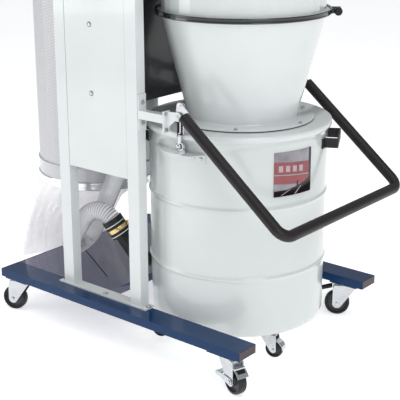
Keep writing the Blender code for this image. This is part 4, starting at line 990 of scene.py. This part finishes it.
def make_brake_hoods():
    """Plated hoods over the base's and the drum's front right wheels, the first one with a dark slot."""
    turned = caster_plane(*BASE_CASTERS["front_right"])
    hood, slot, small = bmesh.new(), bmesh.new(), bmesh.new()
    hub, half = (0.033, 0.038), 0.0172
    prism(hood, shell_arc(hub, (0.0410, 0.0428), 28, 88, 12), -half, half, turned)
    block(hood, (0.024, 0.0780, -half), (0.052, 0.0800, half), turned)
    block(hood, (0.052, 0.0740, -half), (0.0540, 0.0800, half), turned)
    piece("brake_hood_front_right", hood, ZINC, "caster_front_right", bevel=0.0005)
    prism(slot, shell_arc(hub, (0.0420, 0.0431), 44, 60, 5), -0.0120, 0.0120, turned)
    piece("brake_slot_front_right", slot, BLACK, "caster_front_right")
    pivot = around(DRUM, 0.213, radians(SMALL_CASTER_TURN), 0)
    turned = caster_plane(pivot.x, pivot.y, DRUM_TRAILS["front_right"])
    prism(small, shell_arc((0.024, 0.040), (0.0276, 0.0292), 2, 100, 16), -0.0128, 0.0128, turned)
    body = "drum_caster_front_right"
    piece("brake_hood_drum_front_right", small, CHROME, body, bevel=0.0005)


make_casters()
make_brake_hoods()


# -------- filter, bag and the top of the machine
def make_filter():
    finish_node("filter_canister", MESH_SHEET)
    finish_node("filter_media", PAPER)
    finish_node("cleaning_shaft", ZINC, 0.0004)
    finish_node("cleaning_crank", BLACK, 0.0010)
    place = at(CANISTER)
    collar = bmesh.new()
    r = CANISTER_R
    profile = [
        (r - 0.0018, 0.3788), (r + 0.0022, 0.3788), (r + 0.0022, 0.4080), (r + 0.0022, 0.4440),
        (r + 0.0042, 0.4460), (r + 0.0042, 0.4500), (r + 0.0010, 0.4506), (r - 0.0018, 0.4506),
    ]
    revolved(collar, rounded(profile, 0.0008, 2), 120, place)
    piece("canister_collar", collar, COLLAR_GREY, "machine")
    strap = bmesh.new()
    low, high = heights("bag_clamp")
    edge = [
        (0.1905, low), (0.1925, low), (0.1938, low + 0.003), (0.1932, low + 0.006),
        (0.1932, high - 0.006), (0.1938, high - 0.003), (0.1925, high), (0.1905, high),
    ]
    revolved(strap, edge, 120, place)
    piece("bag_clamp_strap", strap, STEEL_BAND, "machine", ["bag_clamp"])
    rims = bmesh.new()
    for z in (1.118, 1.1245):
        revolved(rims, rounded(tube_wall(r - 0.001, r + 0.0020, z, z + 0.003), 0.0008), 96, place)
    piece("canister_rims", rims, STEEL_BAND, "machine")


def bag_outline(height, count):
    """The bag's section at a height from 0 at the deck to 1 at the collar, round the canister's axis."""
    sides, steps = len(BAG_FOOT), 12
    foot = [Vector((*BAG_FOOT[i % sides], 0)) for i in range(-1, sides + 2)]
    ring = smooth_path(foot, steps)[steps : steps * (sides + 1)]
    away = 1 - height ** 1.7
    out = []
    for i in range(count):
        circle = around(Vector(), BAG_R + 0.0015, 2 * pi * i / count, 0)
        out.append(circle.lerp(ring[int(i * len(ring) / count)], away))
    return out


def make_bag():
    """Film bag: round at the collar, slack and creased below, with one corner over the deck's edge."""
    low, high, count, rows = BEAM_HIGH + 0.0035, 0.3925, 180, 60
    bm = bmesh.new()
    grid = []
    for j in range(rows + 1):
        h = j / rows
        ring = []
        for i, spot in enumerate(bag_outline(h, count)):
            outward = spot.normalized()
            place = CANISTER + spot + Vector((0, 0, low + (high - low) * h))
            slack = sin(pi * min(1.0, 0.12 + h)) if h < 0.88 else 0.0
            turn = 2 * pi * i / count
            long_folds = noise.noise(Vector((cos(turn) * 3.2, sin(turn) * 3.2, h * 1.6))) * 0.018
            soft = noise.noise(Vector((cos(turn) * 7.0, sin(turn) * 7.0, h * 4.0 + 9.0))) * 0.010
            creases = abs(noise.noise(Vector((place.x * 26, place.y * 26, h * 7.0 + place.x * 20)))) * 0.009
            pleats = sin(turn * 26) * 0.0024 * max(0.0, (h - 0.55) / 0.45) * (h < 0.93)
            place += outward * ((long_folds + soft - creases) * slack + pleats - 0.003 * slack)
            # past the deck's left edge the film sags below its top
            beyond = max(0.0, min(1.0, (BEAM_X[0] + 0.012 - place.x) / 0.05))
            place.z -= beyond * 0.024 * max(0.0, 1 - h * 2.6)
            ring.append(bm.verts.new(place))
        grid.append(ring)
    # the bottom is a flat face inside the lowest ring
    middle = sum((v.co for v in grid[0]), Vector()) / count
    inset = [bm.verts.new(v.co.lerp(middle, 0.35)) for v in grid[0]]
    for lower, upper in zip([inset] + grid, grid):
        for i in range(count):
            j = (i + 1) % count
            bm.faces.new((lower[i], lower[j], upper[j], upper[i]))
    bm.faces.new(inset)
    piece("dust_bag_film", bm, BAG_FILM, "machine", ["dust_bag"], smooth=70)


make_filter()
make_bag()


def make_motor_details():
    fins = bmesh.new()
    for i in range(40):
        angle = 2 * pi * i / 40 + 0.04
        if abs((angle + 3 * pi / 2) % (2 * pi) - pi) > 0.52:  # none behind the terminal box, at -Y
            turned = at(CYCLONE) @ Matrix.Rotation(angle, 4, "Z")
            block(fins, (0.083, -0.0011, 1.400), (0.0945, 0.0011, 1.598), turned)
    piece("motor_fins", fins, MOTOR_GREY, "machine", bevel=0.0005)
    grill = bmesh.new()
    for r in (0.018, 0.030, 0.042, 0.054, 0.066):
        revolved(grill, rounded(tube_wall(r, r + 0.004, 1.6545, 1.6575), 0.0006), 48, at(CYCLONE))
    piece("motor_grill", grill, BLACK, "machine")
    bolts = bmesh.new()
    add_bolt_circle(bolts, CYCLONE, 0.096, 1.3850, 8, 0.2, 0.0052)
    add_bolt_circle(bolts, CYCLONE, 0.226, 1.2666, 12, 0.1, 0.0045)
    piece("motor_bolts", bolts, ZINC, "machine", bevel=0.0003)


def make_switch():
    finish_node("switch_box", BLACK, 0.0030, 3)
    finish_node("switch_paddle", RED, 0.0012)
    plate = bmesh.new()
    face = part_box("switch_box")[0].y
    outline = rounded([(-0.118, 1.034), (-0.046, 1.034), (-0.046, 1.136), (-0.118, 1.136)], 0.006)
    prism(plate, outline, 0, 0.0006, upright_plane(face + 0.0002))
    piece("switch_face", plate, GREY_HUB, "machine")


make_motor_details()
make_switch()


# -------- stage and light
FLOOR_GLOW = 0.55
SKY = 0.42
OVERHEAD = 60
KEY = 44
FILL = 26


def make_stage():
    floor_finish = Finish("studio_floor", (0.92, 0.92, 0.92), 0.85, Emission_Strength=FLOOR_GLOW)
    floor_finish.shader.inputs["Emission Color"].default_value = (1.0, 1.0, 1.0, 1.0)
    floor_finish.vary(0.8, 0.995, 1.005)
    bm = bmesh.new()
    size = 14.0
    corners = ((-size, -size, 0), (size, -size, 0), (size, size, 0), (-size, size, 0))
    bm.faces.new([bm.verts.new(corner) for corner in corners])
    mesh = bpy.data.meshes.new("studio_floor")
    bm.to_mesh(mesh)
    bm.free()
    mesh.materials.append(floor_finish.material)
    floor = bpy.data.objects.new("studio_floor", mesh)
    bpy.context.collection.objects.link(floor)


def area_light(name, place, target, size, power):
    data = bpy.data.lights.new(name, "AREA")
    data.shape = "RECTANGLE"
    data.size, data.size_y = size
    data.energy = power
    lamp = bpy.data.objects.new(name, data)
    lamp.location = place
    lamp.rotation_euler = (Vector(target) - Vector(place)).to_track_quat("-Z", "Y").to_euler()
    bpy.context.collection.objects.link(lamp)


def make_light():
    world = bpy.data.worlds.new("studio")
    bpy.context.scene.world = world
    world.use_nodes = True
    sky = world.node_tree.nodes["Background"]
    sky.inputs["Color"].default_value = (0.96, 0.98, 1.0, 1)
    sky.inputs["Strength"].default_value = SKY
    area_light("overhead", (0.4, -0.6, 4.2), (0.1, 0, 0.4), (4.0, 4.0), OVERHEAD)
    area_light("key", (3.4, -1.8, 2.4), (0.1, 0, 0.6), (1.8, 2.4), KEY)
    area_light("left", (-2.6, -2.6, 1.6), (-0.1, 0, 0.6), (1.4, 2.4), FILL)
    scene = bpy.context.scene
    scene.view_settings.view_transform = "Standard"
    scene.view_settings.look = "None"


make_stage()
make_light()
